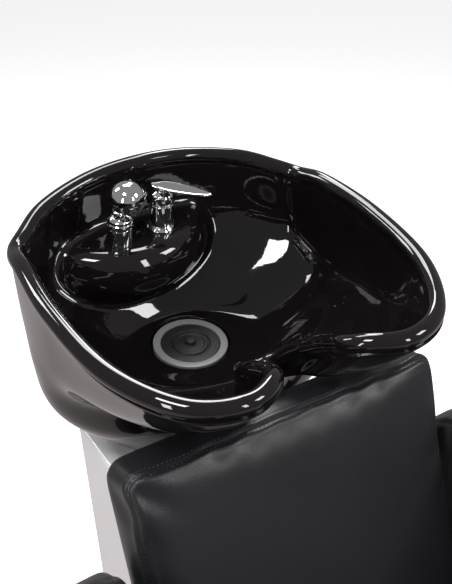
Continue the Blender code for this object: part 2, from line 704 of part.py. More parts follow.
def build_spray(frame):
    """Ball-headed hand spray standing in its guide, with the straight end of its hose."""
    deck = add_empty("spray_seat", (*SPRAY_XY, deck_height(SPRAY_XY)), (math.atan(DECK_SLOPE), 0.0, 0.0),
                     frame)
    top = GUIDE_H
    add_turned("spray_guide", [(GUIDE_R - 0.001, top), (GUIDE_R, top - 0.001), (GUIDE_R, GAP),
                               (GUIDE_SHANK_R, GAP), (GUIDE_SHANK_R, -GUIDE_SHANK_L),
                               (GUIDE_BORE_R, -GUIDE_SHANK_L), (GUIDE_BORE_R, top)],
               CHROME, steps=28, parent=deck)
    low = top + GAP
    top = low + COLLAR_H
    add_turned("spray_collar", [(COLLAR_R - 0.004, top), (COLLAR_R, top - 0.004), (COLLAR_R, low + 0.001),
                                (COLLAR_R - 0.001, low), (GUIDE_BORE_R, low), (GUIDE_BORE_R, top)],
               CHROME, steps=28, parent=deck)
    add_nut("spray_nut", GUIDE_SHANK_R, GUIDE_NUT_R, deck)
    centre = Vector((*BALL_OFFSET, top + BALL_RISE))
    aim = Vector(FACE_AIM).normalized()
    bm = bmesh.new()
    bmesh.ops.create_uvsphere(bm, u_segments=28, v_segments=16, radius=BALL_R)
    geometry = bm.verts[:] + bm.edges[:] + bm.faces[:]
    bmesh.ops.bisect_plane(bm, geom=geometry, plane_co=aim * FACE_REACH, plane_no=aim, clear_outer=True)
    bmesh.ops.holes_fill(bm, edges=[edge for edge in bm.edges if edge.is_boundary])
    ball = add_mesh("spray_ball", bm, CHROME, centre, parent=deck)
    nipple = add_cylinder("spray_nipple", NIPPLE_R, 0.026, (0.0, 0.0, top - 0.004 + 0.013), None, parent=deck,
                          collection=CUTTERS)
    boolean(ball, hide_cutter(nipple), "UNION")
    turn = aim.to_track_quat("Z", "Y").to_euler()
    add_cylinder("spray_face", FACE_R, FACE_T, centre + aim * (FACE_REACH + GAP + FACE_T / 2.0), PLASTIC_DARK,
                 rotation=turn, parent=deck)
    high = top - 0.004 - GAP
    add_cylinder("spray_tail", HOSE_R, high + SPRAY_TAIL, (0.0, 0.0, (high - SPRAY_TAIL) / 2.0), BRAID,
                 segments=16, parent=deck)


def add_square_tube(name, width, height, length, location, rotation=(0.0, 0.0, 0.0), parent=None):
    """A square steel tube along its own Z axis, open at both ends."""
    def ring(inset, z):
        x, y = width / 2.0 - inset, height / 2.0 - inset
        return [(x, y, z), (-x, y, z), (-x, -y, z), (x, -y, z)]
    low, high = -length / 2.0, length / 2.0
    bm = loft([ring(0.0, high), ring(0.0, low), ring(TUBE_WALL, low), ring(TUBE_WALL, high)], "join")
    return add_mesh(name, bm, STEEL_BLACK, location, rotation, parent)


def build_tilt(frame, pivot):
    """Bracket under the basin, yoke on the column, and the two pivot bolts with friction washers."""
    ear_high = -UNDER_DRAIN - GAP
    centre = Vector((0.0, PIVOT_Y * math.cos(REST_TILT) + PIVOT_Z * math.sin(REST_TILT),
                     PIVOT_Z * math.cos(REST_TILT) - PIVOT_Y * math.sin(REST_TILT)))
    bracket = add_box("basin_bracket", (*BRACKET_SIZE, BRACKET_T), (0.0, 0.0, ear_high - BRACKET_T / 2.0),
                      STEEL_BLACK, parent=frame)
    place = {"parent": frame, "collection": CUTTERS}
    hole = add_cylinder("bracket_hole", DRAIN_TAIL_R + 0.001, 0.05, (0.0, 0.0, ear_high), None, **place)
    boolean(bracket, hide_cutter(hole))
    ear_low = centre.z - EAR_WIDTH / 2.0
    for side in (-1.0, 1.0):
        ear = add_box("bracket_ear", (BRACKET_T, EAR_WIDTH, ear_high - 0.001 - ear_low),
                      (side * BRACKET_EAR_X, centre.y, (ear_high - 0.001 + ear_low) / 2.0), None, **place)
        boolean(bracket, hide_cutter(ear), "UNION")
    bore = add_cylinder("bracket_bore", PIVOT_BOLT_R + PIVOT_CLEARANCE, 0.3, centre, None, segments=16,
                        rotation=(0.0, math.pi / 2.0, 0.0), **place)
    boolean(bracket, hide_cutter(bore))

    base_y = DRAIN_Y + COLUMN_BEHIND
    axis = pivot.location
    yoke_y = DRAIN_Y + PIVOT_Y - 0.030
    yoke = add_box("pivot_yoke", (*YOKE_PLATE, YOKE_T), (0.0, yoke_y, YOKE_PLATE_Z), STEEL_BLACK)
    hole = add_cylinder("yoke_hole", YOKE_HOLE_R, 0.05, (0.0, DRAIN_Y + TRAP_Y, YOKE_PLATE_Z), None,
                        collection=CUTTERS)
    boolean(yoke, hide_cutter(hole))
    ear_base = YOKE_PLATE_Z - YOKE_T / 2.0 + 0.001
    ear_top = axis.z + EAR_WIDTH / 2.0
    for side in (-1.0, 1.0):
        ear = add_box("yoke_ear", (YOKE_T, EAR_WIDTH, ear_top - ear_base),
                      (side * YOKE_EAR_X, axis.y, (ear_top + ear_base) / 2.0), None, collection=CUTTERS)
        boolean(yoke, hide_cutter(ear), "UNION")
    bore = add_cylinder("yoke_bore", PIVOT_BOLT_R + GAP, 0.3, axis, None, segments=16,
                        rotation=(0.0, math.pi / 2.0, 0.0), collection=CUTTERS)
    boolean(yoke, hide_cutter(bore))

    outside = YOKE_EAR_X + YOKE_T / 2.0 + GAP
    inside = BRACKET_EAR_X - BRACKET_T / 2.0 - 0.002
    for side, word in ((-1.0, "left"), (1.0, "right")):
        turn = (0.0, side * math.pi / 2.0, 0.0)
        add_turned(f"pivot_bolt_{word}", [(0.0, outside + PIVOT_HEAD_T),
                                          (PIVOT_HEAD_R, outside + PIVOT_HEAD_T),
                                          (PIVOT_HEAD_R, outside), (PIVOT_BOLT_R, outside),
                                          (PIVOT_BOLT_R, inside), (0.0, inside)],
                   STEEL_BRIGHT, axis, steps=16, rotation=turn)
        high = YOKE_EAR_X - YOKE_T / 2.0 - GAP
        low = high - WASHER_T
        add_turned(f"friction_washer_{word}", [(WASHER_R, high), (WASHER_R, low),
                                               (PIVOT_BOLT_R + GAP, low), (PIVOT_BOLT_R + GAP, high)],
                   RUBBER, axis, steps=20, rotation=turn)
    return base_y


def build_column(base_y):
    """Steel column inside the pedestal, its floor plate and anchor bolts."""
    low = COLUMN_FOOT_T + GAP
    add_square_tube("column", COLUMN, COLUMN, COLUMN_TOP - low, (0.0, base_y, (COLUMN_TOP + low) / 2.0))
    plate_y = base_y + 0.020
    plate = add_box("column_foot", (*COLUMN_FOOT, COLUMN_FOOT_T), (0.0, plate_y, COLUMN_FOOT_T / 2.0),
                    STEEL_BLACK)
    top = COLUMN_FOOT_T + GAP
    for side, word in ((-1.0, "left"), (1.0, "right")):
        spot = (side * (COLUMN_FOOT[0] / 2.0 - ANCHOR_INSET), plate_y, 0.0)
        hole = add_cylinder("anchor_hole", BOLT_R + 0.001, 0.05, spot, None, segments=16, collection=CUTTERS)
        boolean(plate, hide_cutter(hole))
        add_turned(f"anchor_bolt_{word}", [(0.0, top + BOLT_HEAD_T), (BOLT_HEAD_R, top + BOLT_HEAD_T),
                                           (BOLT_HEAD_R, top), (BOLT_R, top), (BOLT_R, top - BOLT_LENGTH),
                                           (0.0, top - BOLT_LENGTH)],
                   STEEL_BRIGHT, spot, steps=12)


def pedestal_outline(half, inset, z):
    """One level outline of the pedestal."""
    points = rounded_rectangle(half - inset, DRAIN_Y + PEDESTAL_FRONT + inset, DRAIN_Y + PEDESTAL_BACK - inset,
                               PEDESTAL_CORNER - inset)
    return [(x, y, z) for x, y in points]


def pedestal_solid(inset, low, high):
    """The pedestal's tapered body as a solid."""
    slope = (PEDESTAL_HALF - PEDESTAL_FOOT_HALF) / (DRAIN_Z + PEDESTAL_TOP)
    return loft([pedestal_outline(PEDESTAL_FOOT_HALF + slope * z, inset, z) for z in (low, high)], "cap")


def saddle_cutter(name, radius):
    """The cylinder that cradles the basin."""
    return hide_cutter(add_cylinder(name, radius, 1.0, (0.0, DRAIN_Y + SADDLE_Y, SADDLE_AXIS_Z), None,
                                    segments=96, rotation=(0.0, math.pi / 2.0, 0.0), collection=CUTTERS))


def build_pedestal():
    """White moulded pedestal, open underneath, with its cradle, mouth, door opening and beam slot."""
    top = DRAIN_Z + PEDESTAL_TOP
    shell = add_mesh("pedestal_shell", pedestal_solid(0.0, 0.0, top), WHITE)
    inner = hide_cutter(add_mesh("pedestal_inside", pedestal_solid(PEDESTAL_WALL, -0.010, top - PEDESTAL_WALL),
                                 None, collection=CUTTERS))
    boolean(inner, saddle_cutter("saddle_inside", SADDLE_R + PEDESTAL_WALL))
    boolean(shell, saddle_cutter("saddle", SADDLE_R))
    boolean(shell, inner)
    back = DRAIN_Y + PEDESTAL_BACK
    door_z = (DOOR_LOW + DOOR_HIGH) / 2.0
    openings = (
        ("mouth", SADDLE_MOUTH, (0.0, DRAIN_Y + SADDLE_MOUTH_Y, DRAIN_Z + SADDLE_DEPTH)),
        ("door_opening", (DOOR_WIDTH + 2.0 * DOOR_GAP, 0.040, DOOR_HIGH - DOOR_LOW + 2.0 * DOOR_GAP),
         (0.0, back, door_z)),
        ("beam_slot", (BEAM + 0.004, 0.060, BEAM + 0.004),
         (0.0, DRAIN_Y + PEDESTAL_FRONT, BEAM_TOP - BEAM / 2.0)),
    )
    for name, size, place in openings:
        boolean(shell, hide_cutter(add_box(name, size, place, None, collection=CUTTERS)))


def build_door():
    """Service door in the back of the pedestal, on two hinges, with a turn latch."""
    back = DRAIN_Y + PEDESTAL_BACK
    edge = -DOOR_WIDTH / 2.0 - DOOR_GAP / 2.0
    axis_y = back + HINGE_R + GAP
    add_box("service_door", (DOOR_WIDTH, DOOR_T, DOOR_HIGH - DOOR_LOW),
            (0.0, back - DOOR_T / 2.0, (DOOR_LOW + DOOR_HIGH) / 2.0), WHITE, bevel=0.001, segments=1)
    add_hinge_leaf("door_hinge", edge, axis_y, 1.0)
    add_hinge_leaf("frame_hinge", edge, axis_y, -1.0)
    add_turned("door_latch", [(0.0, LATCH_T), (LATCH_R - 0.002, LATCH_T), (LATCH_R, LATCH_T - 0.002),
                              (LATCH_R, GAP), (0.0, GAP)],
               PLASTIC_DARK, (DOOR_WIDTH / 2.0 - 0.025, back, (DOOR_LOW + DOOR_HIGH) / 2.0), steps=20,
               rotation=(-math.pi / 2.0, 0.0, 0.0))


def add_hinge_leaf(name, x, y, side):
    """One leaf of the door's hinge with its knuckles; side +1 lies on the door."""
    low, high = DOOR_LOW + HINGE_INSET, DOOR_HIGH - HINGE_INSET
    pitch = (high - low) / HINGE_KNUCKLES
    leaf = add_box(name, (HINGE_LEAF, HINGE_T, high - low),
                   (x + side * (HINGE_R + HINGE_LEAF / 2.0), y - HINGE_R + HINGE_T / 2.0, (low + high) / 2.0),
                   STEEL_BRIGHT)
    for number in range(HINGE_KNUCKLES):
        if number % 2 == (side > 0.0):
            middle = low + (number + 0.5) * pitch
            knuckle = add_cylinder("knuckle", HINGE_R, pitch - 2.0 * GAP, (x, y, middle), None, segments=14,
                                   collection=CUTTERS)
            web = add_box("knuckle_web", (HINGE_R + 0.002, HINGE_T, pitch - 2.0 * GAP),
                          (x + side * (HINGE_R + 0.002) / 2.0, y - HINGE_R + HINGE_T / 2.0, middle), None,
                          collection=CUTTERS)
            boolean(leaf, hide_cutter(knuckle), "UNION")
            boolean(leaf, hide_cutter(web), "UNION")


def build_frame(base_y):
    """Beam, front leg, rails, cross tubes and uprights that carry the seat, the back and the arms."""
    beam_back = base_y - COLUMN / 2.0 - GAP
    beam_front = LEG_Y - BEAM / 2.0
    along_y = (math.pi / 2.0, 0.0, 0.0)
    add_square_tube("seat_beam", BEAM, BEAM, beam_back - beam_front,
                    (0.0, (beam_back + beam_front) / 2.0, BEAM_TOP - BEAM / 2.0), along_y)
    leg_low = GLIDE_H + FOOT_BAR[2] + GAP
    leg_high = BEAM_TOP - BEAM - GAP
    add_square_tube("front_leg", BEAM, BEAM, leg_high - leg_low, (0.0, LEG_Y, (leg_high + leg_low) / 2.0))
    add_box("foot_bar", FOOT_BAR, (0.0, LEG_Y, GLIDE_H + FOOT_BAR[2] / 2.0), STEEL_BLACK, bevel=0.004)
    rail_z = (RAIL_TOP + RAIL_LOW) / 2.0
    length = RAIL_BACK - RAIL_FRONT
    gap_x = RAIL_X - RAIL / 2.0 - GAP
    for side, word in ((-1.0, "left"), (1.0, "right")):
        add_square_tube(f"seat_rail_{word}", RAIL, RAIL, length,
                        (side * RAIL_X, (RAIL_BACK + RAIL_FRONT) / 2.0, rail_z), along_y)
        add_turned(f"glide_{word}", [(0.0, GLIDE_H - GAP), (GLIDE_R - 0.002, GLIDE_H - GAP), (GLIDE_R, 0.003),
                                     (GLIDE_R, 0.0), (0.0, 0.0)], RUBBER, (side * GLIDE_X, LEG_Y, 0.0), steps=20)
        bar = (ARM_GAP + ARM_T + SEAT_WIDTH / 2.0 - RAIL_X + RAIL / 2.0 - 0.010)
        add_box(f"arm_bracket_{word}", (bar, BRACKET_BAR[0], BRACKET_BAR[1]),
                (side * (RAIL_X - RAIL / 2.0 + bar / 2.0), -0.080, RAIL_LOW - GAP - BRACKET_BAR[1] / 2.0),
                STEEL_BLACK)
    for word, y in (("front", CROSS_FRONT_Y), ("back", CROSS_BACK_Y)):
        add_square_tube(f"cross_tube_{word}", RAIL, RAIL, 2.0 * gap_x, (0.0, y, rail_z),
                        (0.0, math.pi / 2.0, 0.0))


def build_back():
    """Reclined back: cushion, board and two uprights between the seat rails."""
    back = add_empty("back_frame", (0.0, DRAIN_Y + BACK_TOP_Y, DRAIN_Z + BACK_TOP_Z), (-BACK_LEAN, 0.0, 0.0))
    add_box("back_cushion", (BACK_WIDTH, BACK_T, BACK_HEIGHT), (0.0, BACK_T / 2.0, -BACK_HEIGHT / 2.0),
            LEATHER, bevel=CUSHION_ROUND, segments=3, parent=back)
    board_y = BACK_T + GAP + BOARD_T / 2.0
    add_box("back_board", (BACK_WIDTH - 2.0 * BOARD_MARGIN, BOARD_T, BACK_HEIGHT - 2.0 * BOARD_MARGIN),
            (0.0, board_y, -BACK_HEIGHT / 2.0), PLYWOOD, parent=back)
    upright_x = RAIL_X - RAIL - GAP
    for side, word in ((-1.0, "left"), (1.0, "right")):
        add_square_tube(f"back_upright_{word}", RAIL, RAIL, UPRIGHT_TOP - UPRIGHT_FOOT,
                        (side * upright_x, UPRIGHT_Y, (UPRIGHT_TOP + UPRIGHT_FOOT) / 2.0), parent=back)


def build_seat():
    """Seat cushion and board, and the two upholstered arms."""
    depth = SEAT_BACK - SEAT_FRONT
    middle = (SEAT_BACK + SEAT_FRONT) / 2.0
    add_box("seat_cushion", (SEAT_WIDTH, depth, SEAT_T), (0.0, middle, SEAT_TOP - SEAT_T / 2.0), LEATHER,
            bevel=CUSHION_ROUND, segments=3)
    add_box("seat_board", (SEAT_WIDTH - 2.0 * BOARD_MARGIN, depth - 2.0 * BOARD_MARGIN, BOARD_T),
            (0.0, middle, RAIL_TOP + GAP + BOARD_T / 2.0), PLYWOOD)
    foot, crown = ARM_FOOT_CORNER, ARM_FRONT_CORNER
    outline = (arc((ARM_BACK - ARM_BACK_CORNER, ARM_TOP - ARM_BACK_CORNER), ARM_BACK_CORNER, 0.0, 90.0, 9)
               + arc((ARM_FRONT + crown, ARM_TOP - crown), crown, 90.0, 180.0, 8)
               + arc((ARM_FRONT + foot, ARM_BOTTOM + foot), foot, 180.0, 270.0, 4)
               + arc((ARM_BACK - foot, ARM_BOTTOM + foot), foot, 270.0, 360.0, 4))
    for side, word in ((-1.0, "left"), (1.0, "right")):
        bm = outline_prism(outline, ARM_T)
        rim = [edge for edge in bm.edges
               if abs(edge.verts[0].co.y - edge.verts[1].co.y) < ARM_T / 2.0]
        bmesh.ops.bevel(bm, geom=rim, offset=ARM_ROUND, segments=2, profile=0.5, affect="EDGES", material=-1)
        add_mesh(f"arm_{word}", bm, LEATHER, (side * (SEAT_WIDTH / 2.0 + ARM_GAP + ARM_T / 2.0), 0.0, 0.0),
                 (0.0, 0.0, math.pi / 2.0))


def at_rest(x, y, z):
    """World place of a point in the basin frame, with the basin at rest."""
    return (x, DRAIN_Y + y * math.cos(REST_TILT) - z * math.sin(REST_TILT),
            DRAIN_Z + y * math.sin(REST_TILT) + z * math.cos(REST_TILT))


def build_pipes():
    """Waste hose, trap and waste pipe, supply hoses with their fittings, and the spray's hose."""
    trap_y = DRAIN_Y + TRAP_Y
    low = TRAP_TOP - TRAP_HEIGHT
    add_turned("trap", [(0.0, TRAP_TOP), (WASTE_R, TRAP_TOP), (WASTE_R, TRAP_TOP - 0.015),
                        (TRAP_R, TRAP_TOP - 0.018), (TRAP_R, low + 0.008), (TRAP_R - 0.008, low), (0.0, low)],
               PLASTIC_LIGHT, (0.0, trap_y, 0.0), steps=20)
    start = at_rest(0.0, 0.0, -TAIL_LENGTH - GAP)
    middle = (start[2] + TRAP_TOP) / 2.0
    add_tube("waste_hose", [start, at_rest(0.0, 0.001, -TAIL_LENGTH - 0.030), (0.0, trap_y, middle),
                            (0.0, trap_y, TRAP_TOP + 0.030), (0.0, trap_y, TRAP_TOP + GAP)],
             WASTE_R, PLASTIC_LIGHT, 14)
    side_x = TRAP_R + GAP
    out_z = TRAP_TOP - TRAP_HEIGHT / 2.0
    down_x, down_y = side_x + 0.036, trap_y + WASTE_BACK
    add_tube("waste_pipe", [(side_x + 0.002, trap_y, out_z), (side_x + 0.008, trap_y, out_z),
                            (side_x + 0.020, trap_y + 0.004, out_z - 0.002),
                            (down_x, trap_y + 0.020, out_z - 0.030), (down_x, down_y, out_z - 0.090),
                            (down_x, down_y, 0.120), (down_x, down_y, 0.004)],
             PIPE_R, PLASTIC_LIGHT, 20)
    shank_z = deck_height(MIXER_XY) - MIXER_SHANK_L - GAP - 0.001
    for side, word in ((-1.0, "hot"), (1.0, "cold")):
        x = MIXER_XY[0] + side * SUPPLY_OFFSET
        end = (side * FITTING_X, DRAIN_Y + FITTING_Y)
        add_turned(f"supply_fitting_{word}", [(0.0, FITTING_H), (FITTING_R, FITTING_H), (FITTING_R, 0.0),
                                              (0.0, 0.0)], BRASS, (end[0], end[1], 0.0), steps=6)
        top = FITTING_H + GAP
        add_tube(f"supply_hose_{word}", [at_rest(x, MIXER_XY[1] + 0.002, shank_z),
                                         at_rest(x, MIXER_XY[1] + 0.003, shank_z - 0.012),
                                         at_rest(x + side * 0.001, 0.124, shank_z - 0.040),
                                         at_rest(x + side * 0.002, 0.118, 0.005),
                                         at_rest(x + side * 0.006, 0.086, -0.060),
                                         (x + side * 0.014, DRAIN_Y + 0.058, DRAIN_Z - 0.112),
                                         (x + side * 0.030, DRAIN_Y + 0.048, DRAIN_Z - 0.180),
                                         (end[0], end[1], 0.420), (end[0], end[1], 0.250),
                                         (end[0], end[1], top + 0.060), (end[0], end[1], top)],
                 SUPPLY_R, BRAID, 36)
    tail = deck_height(SPRAY_XY) - SPRAY_TAIL - 5.0 * GAP
    x, y = SPRAY_XY
    y += DECK_SLOPE * SPRAY_TAIL
    loop_x = x - LOOP_ASIDE
    add_tube("spray_hose", [at_rest(x, y, tail), at_rest(x, y + 0.0006, tail - 0.012),
                            at_rest(x, 0.1235, 0.045), at_rest(x, 0.1240, 0.010), at_rest(x, 0.1040, -0.045),
                            at_rest(x, 0.086, -0.075), (x - 0.002, DRAIN_Y + 0.056, DRAIN_Z - 0.112),
                            (x - 0.012, DRAIN_Y + 0.046, DRAIN_Z - 0.175),
                            (loop_x, DRAIN_Y + 0.046, 0.460), (loop_x, DRAIN_Y + 0.040, 0.300),
                            (loop_x, DRAIN_Y + 0.010, 0.235), (loop_x, DRAIN_Y - 0.030, 0.240),
                            (loop_x, DRAIN_Y - 0.055, 0.300), (loop_x, DRAIN_Y - 0.055, 0.400),
                            (loop_x, DRAIN_Y - 0.055, 0.480)],
             HOSE_R, BRAID, 44)


# ---------------------------------------------------------------- run
clear_scene()
PARTS = make_collection("backwash_unit")
CUTTERS = make_collection("cutters")

GLAZE = make_material("glazed_black", (0.010, 0.008, 0.009), 0.05)
CHROME = make_material("chrome", (0.80, 0.80, 0.82), 0.05, 1.0)
RING_GREY = make_material("drain_grey", (0.22, 0.22, 0.22), 0.35)
RUBBER = make_material("black_rubber", (0.018, 0.018, 0.020), 0.60)
PLASTIC_DARK = make_material("black_plastic", (0.030, 0.030, 0.032), 0.40)
PLASTIC_LIGHT = make_material("white_plastic", (0.75, 0.75, 0.73), 0.45)
BRAID = make_material("braided_steel", (0.55, 0.55, 0.56), 0.40, 0.9)
BRASS = make_material("brass", (0.62, 0.45, 0.18), 0.30, 1.0)
STEEL_BLACK = make_material("black_painted_steel", (0.020, 0.020, 0.022), 0.40)
STEEL_BRIGHT = make_material("bright_steel", (0.60, 0.60, 0.61), 0.30, 1.0)
WHITE = make_material("white_gelcoat", (0.85, 0.85, 0.85), 0.15)
LEATHER = make_material("black_leatherette", (0.025, 0.025, 0.028), 0.45)
PLYWOOD = make_material("birch_plywood", (0.55, 0.40, 0.25), 0.60)

basin_pivot = add_empty("basin_pivot", (0.0, DRAIN_Y + PIVOT_Y, DRAIN_Z + PIVOT_Z))
basin_frame = add_empty("basin_frame", (0.0, -PIVOT_Y, -PIVOT_Z), (REST_TILT, 0.0, 0.0), basin_pivot)
build_basin(basin_frame)
build_drain(basin_frame)
build_mixer(basin_frame)
build_spray(basin_frame)
column_y = build_tilt(basin_frame, basin_pivot)
build_column(column_y)
build_pedestal()
build_door()
build_frame(column_y)
build_back()
build_seat()
build_pipes()
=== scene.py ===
"""Shampoo backwash unit: black ceramic tilting basin on a white pedestal, with a reclined black seat.

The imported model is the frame. Each sub-assembly is a class that makes its own meshes and dresses them.
"""
from __future__ import annotations

import json
import logging
import math
from dataclasses import dataclass
from enum import Enum
from typing import Iterable, Sequence

import bmesh
import bpy
import numpy as np
from mathutils import Matrix, Vector
from mathutils.bvhtree import BVHTree


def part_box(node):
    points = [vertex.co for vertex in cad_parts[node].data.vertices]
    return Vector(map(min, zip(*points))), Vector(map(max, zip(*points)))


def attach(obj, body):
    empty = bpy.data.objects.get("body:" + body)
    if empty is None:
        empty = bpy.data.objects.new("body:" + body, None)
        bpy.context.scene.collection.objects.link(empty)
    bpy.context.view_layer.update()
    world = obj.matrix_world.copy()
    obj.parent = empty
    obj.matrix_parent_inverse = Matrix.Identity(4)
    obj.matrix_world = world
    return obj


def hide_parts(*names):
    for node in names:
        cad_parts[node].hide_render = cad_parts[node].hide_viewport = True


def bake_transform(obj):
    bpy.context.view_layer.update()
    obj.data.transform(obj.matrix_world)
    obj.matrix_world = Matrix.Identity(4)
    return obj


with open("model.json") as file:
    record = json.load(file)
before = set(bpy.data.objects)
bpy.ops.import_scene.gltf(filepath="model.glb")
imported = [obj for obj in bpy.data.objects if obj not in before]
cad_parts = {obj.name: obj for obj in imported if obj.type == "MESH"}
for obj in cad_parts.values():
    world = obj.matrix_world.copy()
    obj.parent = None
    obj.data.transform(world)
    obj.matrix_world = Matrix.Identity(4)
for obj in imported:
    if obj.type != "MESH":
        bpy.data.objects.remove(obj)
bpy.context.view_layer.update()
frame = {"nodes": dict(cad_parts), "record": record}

LOG = logging.getLogger("backwash")
Pair = tuple[float, float]
Point = tuple[float, float, float]
Colour = tuple[float, float, float]


# ---------------------------------------------------------------- places
def joint(name: str) -> dict:
    """The record's joint of this name."""
    return next(item for item in frame["record"]["behaviour"]["joints"] if item["name"] == name)


PIVOT = Vector(joint("basin_tilt")["pos_m"])
DRAIN = PIVOT + Vector((0.0, 0.005, 0.105))
BASIN_UP = Vector(joint("strainer_lift")["axis"])
REST_TILT = math.atan2(-BASIN_UP.y, BASIN_UP.z)
BASIN = Matrix.Translation(DRAIN) @ Matrix.Rotation(REST_TILT, 4, "X")
DECK_Z = 0.135
DECK_SLOPE = 0.045
MIXER_XY = (0.014, 0.119)
SPRAY_XY = (-0.062, 0.107)
GAP = 0.0003


def on_deck(spot: Pair) -> Matrix:
    """Placement of a fitting that stands on the tap deck.

    Args:
        spot: x and y of the fitting in the basin's own frame.

    Returns:
        The matrix from the fitting's frame to the row frame.
    """
    height = DECK_Z + DECK_SLOPE * spot[1]
    return BASIN @ Matrix.Translation((*spot, height)) @ Matrix.Rotation(math.atan(DECK_SLOPE), 4, "X")


# ---------------------------------------------------------------- shader graphs
class Signal:
    """A node's output that takes part in arithmetic by adding Math nodes."""

    def __init__(self, graph: "Graph", socket: bpy.types.NodeSocket) -> None:
        """Keep the output socket and the graph that it belongs to."""
        self.graph = graph
        self.socket = socket

    def _math(self, operation: str, first: "Signal | float", second: "Signal | float") -> "Signal":
        """Add a Math node that joins two values."""
        return self.graph.node("ShaderNodeMath", {"operation": operation}, {0: first, 1: second})

    def __add__(self, other: "Signal | float") -> "Signal":
        """Sum of the two."""
        return self._math("ADD", self, other)

    __radd__ = __add__

    def __sub__(self, other: "Signal | float") -> "Signal":
        """This less the other."""
        return self._math("SUBTRACT", self, other)

    def __rsub__(self, other: "Signal | float") -> "Signal":
        """The other less this."""
        return self._math("SUBTRACT", other, self)

    def __mul__(self, other: "Signal | float") -> "Signal":
        """Product of the two."""
        return self._math("MULTIPLY", self, other)

    __rmul__ = __mul__

    def __pow__(self, other: "Signal | float") -> "Signal":
        """This to the power of the other."""
        return self._math("POWER", self, other)


class Graph:
    """A material's node graph round one Principled shader."""

    def __init__(self, name: str) -> None:
        """Start a material with nothing but its shader and its output.

        Args:
            name: the material's name.
        """
        self.material = bpy.data.materials.new(name)
        self.material.use_nodes = True
        self.tree = self.material.node_tree
        self.tree.nodes.clear()
        self.shader = self.tree.nodes.new("ShaderNodeBsdfPrincipled")
        output = self.tree.nodes.new("ShaderNodeOutputMaterial")
        output.name = "Material Output"
        self.tree.links.new(self.shader.outputs[0], output.inputs["Surface"])

    def node(self, kind: str, settings: dict | None = None, inputs: dict | None = None,
             output: int | str = 0) -> Signal:
        """Add a node.

        Args:
            kind: the node's type.
            settings: properties to set first; "stops" fills a colour ramp.
            inputs: socket name or number to a value or a Signal.
            output: which output to return.

        Returns:
            The chosen output.
        """
        item = self.tree.nodes.new(kind)
        for key, value in (settings or {}).items():
            if key == "stops":
                ramp = item.color_ramp.elements
                while len(ramp) < len(value):
                    ramp.new(1.0)
                for element, (place, colour) in zip(ramp, value):
                    element.position = place
                    element.color = (*colour, 1.0)
            else:
                setattr(item, key, value)
        for key, value in (inputs or {}).items():
            self.join(value, item.inputs[key])
        return Signal(self, item.outputs[output])

    def join(self, value: "Signal | float | Sequence[float]", socket: bpy.types.NodeSocket) -> None:
        """Link a Signal to a socket, or set the socket to a constant."""
        if isinstance(value, Signal):
            self.tree.links.new(value.socket, socket)
        else:
            socket.default_value = value

    def feed(self, **sockets: "Signal | float | Sequence[float]") -> None:
        """Feed the shader; a keyword is the socket's name with _ for a space."""
        for name, value in sockets.items():
            self.join(value, self.shader.inputs[name.replace("_", " ")])

    def place(self, scale: Point = (1.0, 1.0, 1.0), turn: Point = (0.0, 0.0, 0.0)) -> Signal:
        """Object coordinates, scaled and turned.

        Args:
            scale: factors along the axes.
            turn: angles about the axes.

        Returns:
            The coordinates.
        """
        here = self.node("ShaderNodeTexCoord", output="Object")
        return self.node("ShaderNodeMapping", {"vector_type": "POINT"},
                         {"Vector": here, "Scale": scale, "Rotation": turn})

    def noise(self, scale: float, detail: float = 3.0, roughness: float = 0.5,
              where: Signal | None = None) -> Signal:
        """Noise from 0 to 1.

        Args:
            scale: cells in a metre.
            detail: number of octaves.
            roughness: weight of the finer octaves.
            where: coordinates; object coordinates when left out.

        Returns:
            The noise value.
        """
        return self.node("ShaderNodeTexNoise", None,
                         {"Vector": where or self.place(), "Scale": scale, "Detail": detail,
                          "Roughness": roughness})

    def cells(self, scale: float, feature: str = "F1", where: Signal | None = None) -> Signal:
        """Distance field of a Voronoi pattern.

        Args:
            scale: cells in a metre.
            feature: F1, SMOOTH_F1 or DISTANCE_TO_EDGE.
            where: coordinates; object coordinates when left out.

        Returns:
            The distance value.
        """
        return self.node("ShaderNodeTexVoronoi", {"feature": feature},
                         {"Vector": where or self.place(), "Scale": scale}, output="Distance")

    def blend(self, amount: Signal, low: Colour, high: Colour) -> Signal:
        """A colour between two, by a value from 0 to 1."""
        return self.node("ShaderNodeMix", {"data_type": "RGBA"},
                         {0: amount, 6: (*low, 1.0), 7: (*high, 1.0)}, output=2)

    def spread(self, value: Signal, low: float, high: float, to_low: float = 0.0,
               to_high: float = 1.0) -> Signal:
        """Map a range of values to another range, clamped."""
        return self.node("ShaderNodeMapRange", {"clamp": True},
                         {"Value": value, "From Min": low, "From Max": high, "To Min": to_low,
                          "To Max": to_high})

    def bump(self, height: Signal, distance: float, strength: float = 1.0) -> Signal:
        """Bumped normal from a height from 0 to 1.

        Args:
            height: the height.
            distance: how high a height of 1 stands, in metres.
            strength: weight of the bump.

        Returns:
            The normal.
        """
        return self.node("ShaderNodeBump", None,
                         {"Height": height, "Distance": distance, "Strength": strength})


# ---------------------------------------------------------------- finishes
class Slot(Enum):
    """The record's material slots."""

    GLAZE = "glazed_black"
    CHROME = "chrome"
    RING = "drain_grey"
    RUBBER = "black_rubber"
    DARK = "black_plastic"
    LIGHT = "white_plastic"
    BRAID = "braided_steel"
    BRASS = "brass"
    STEEL = "black_painted_steel"
    ZINC = "bright_steel"
    GELCOAT = "white_gelcoat"
    LEATHER = "black_leatherette"
    PLYWOOD = "birch_plywood"


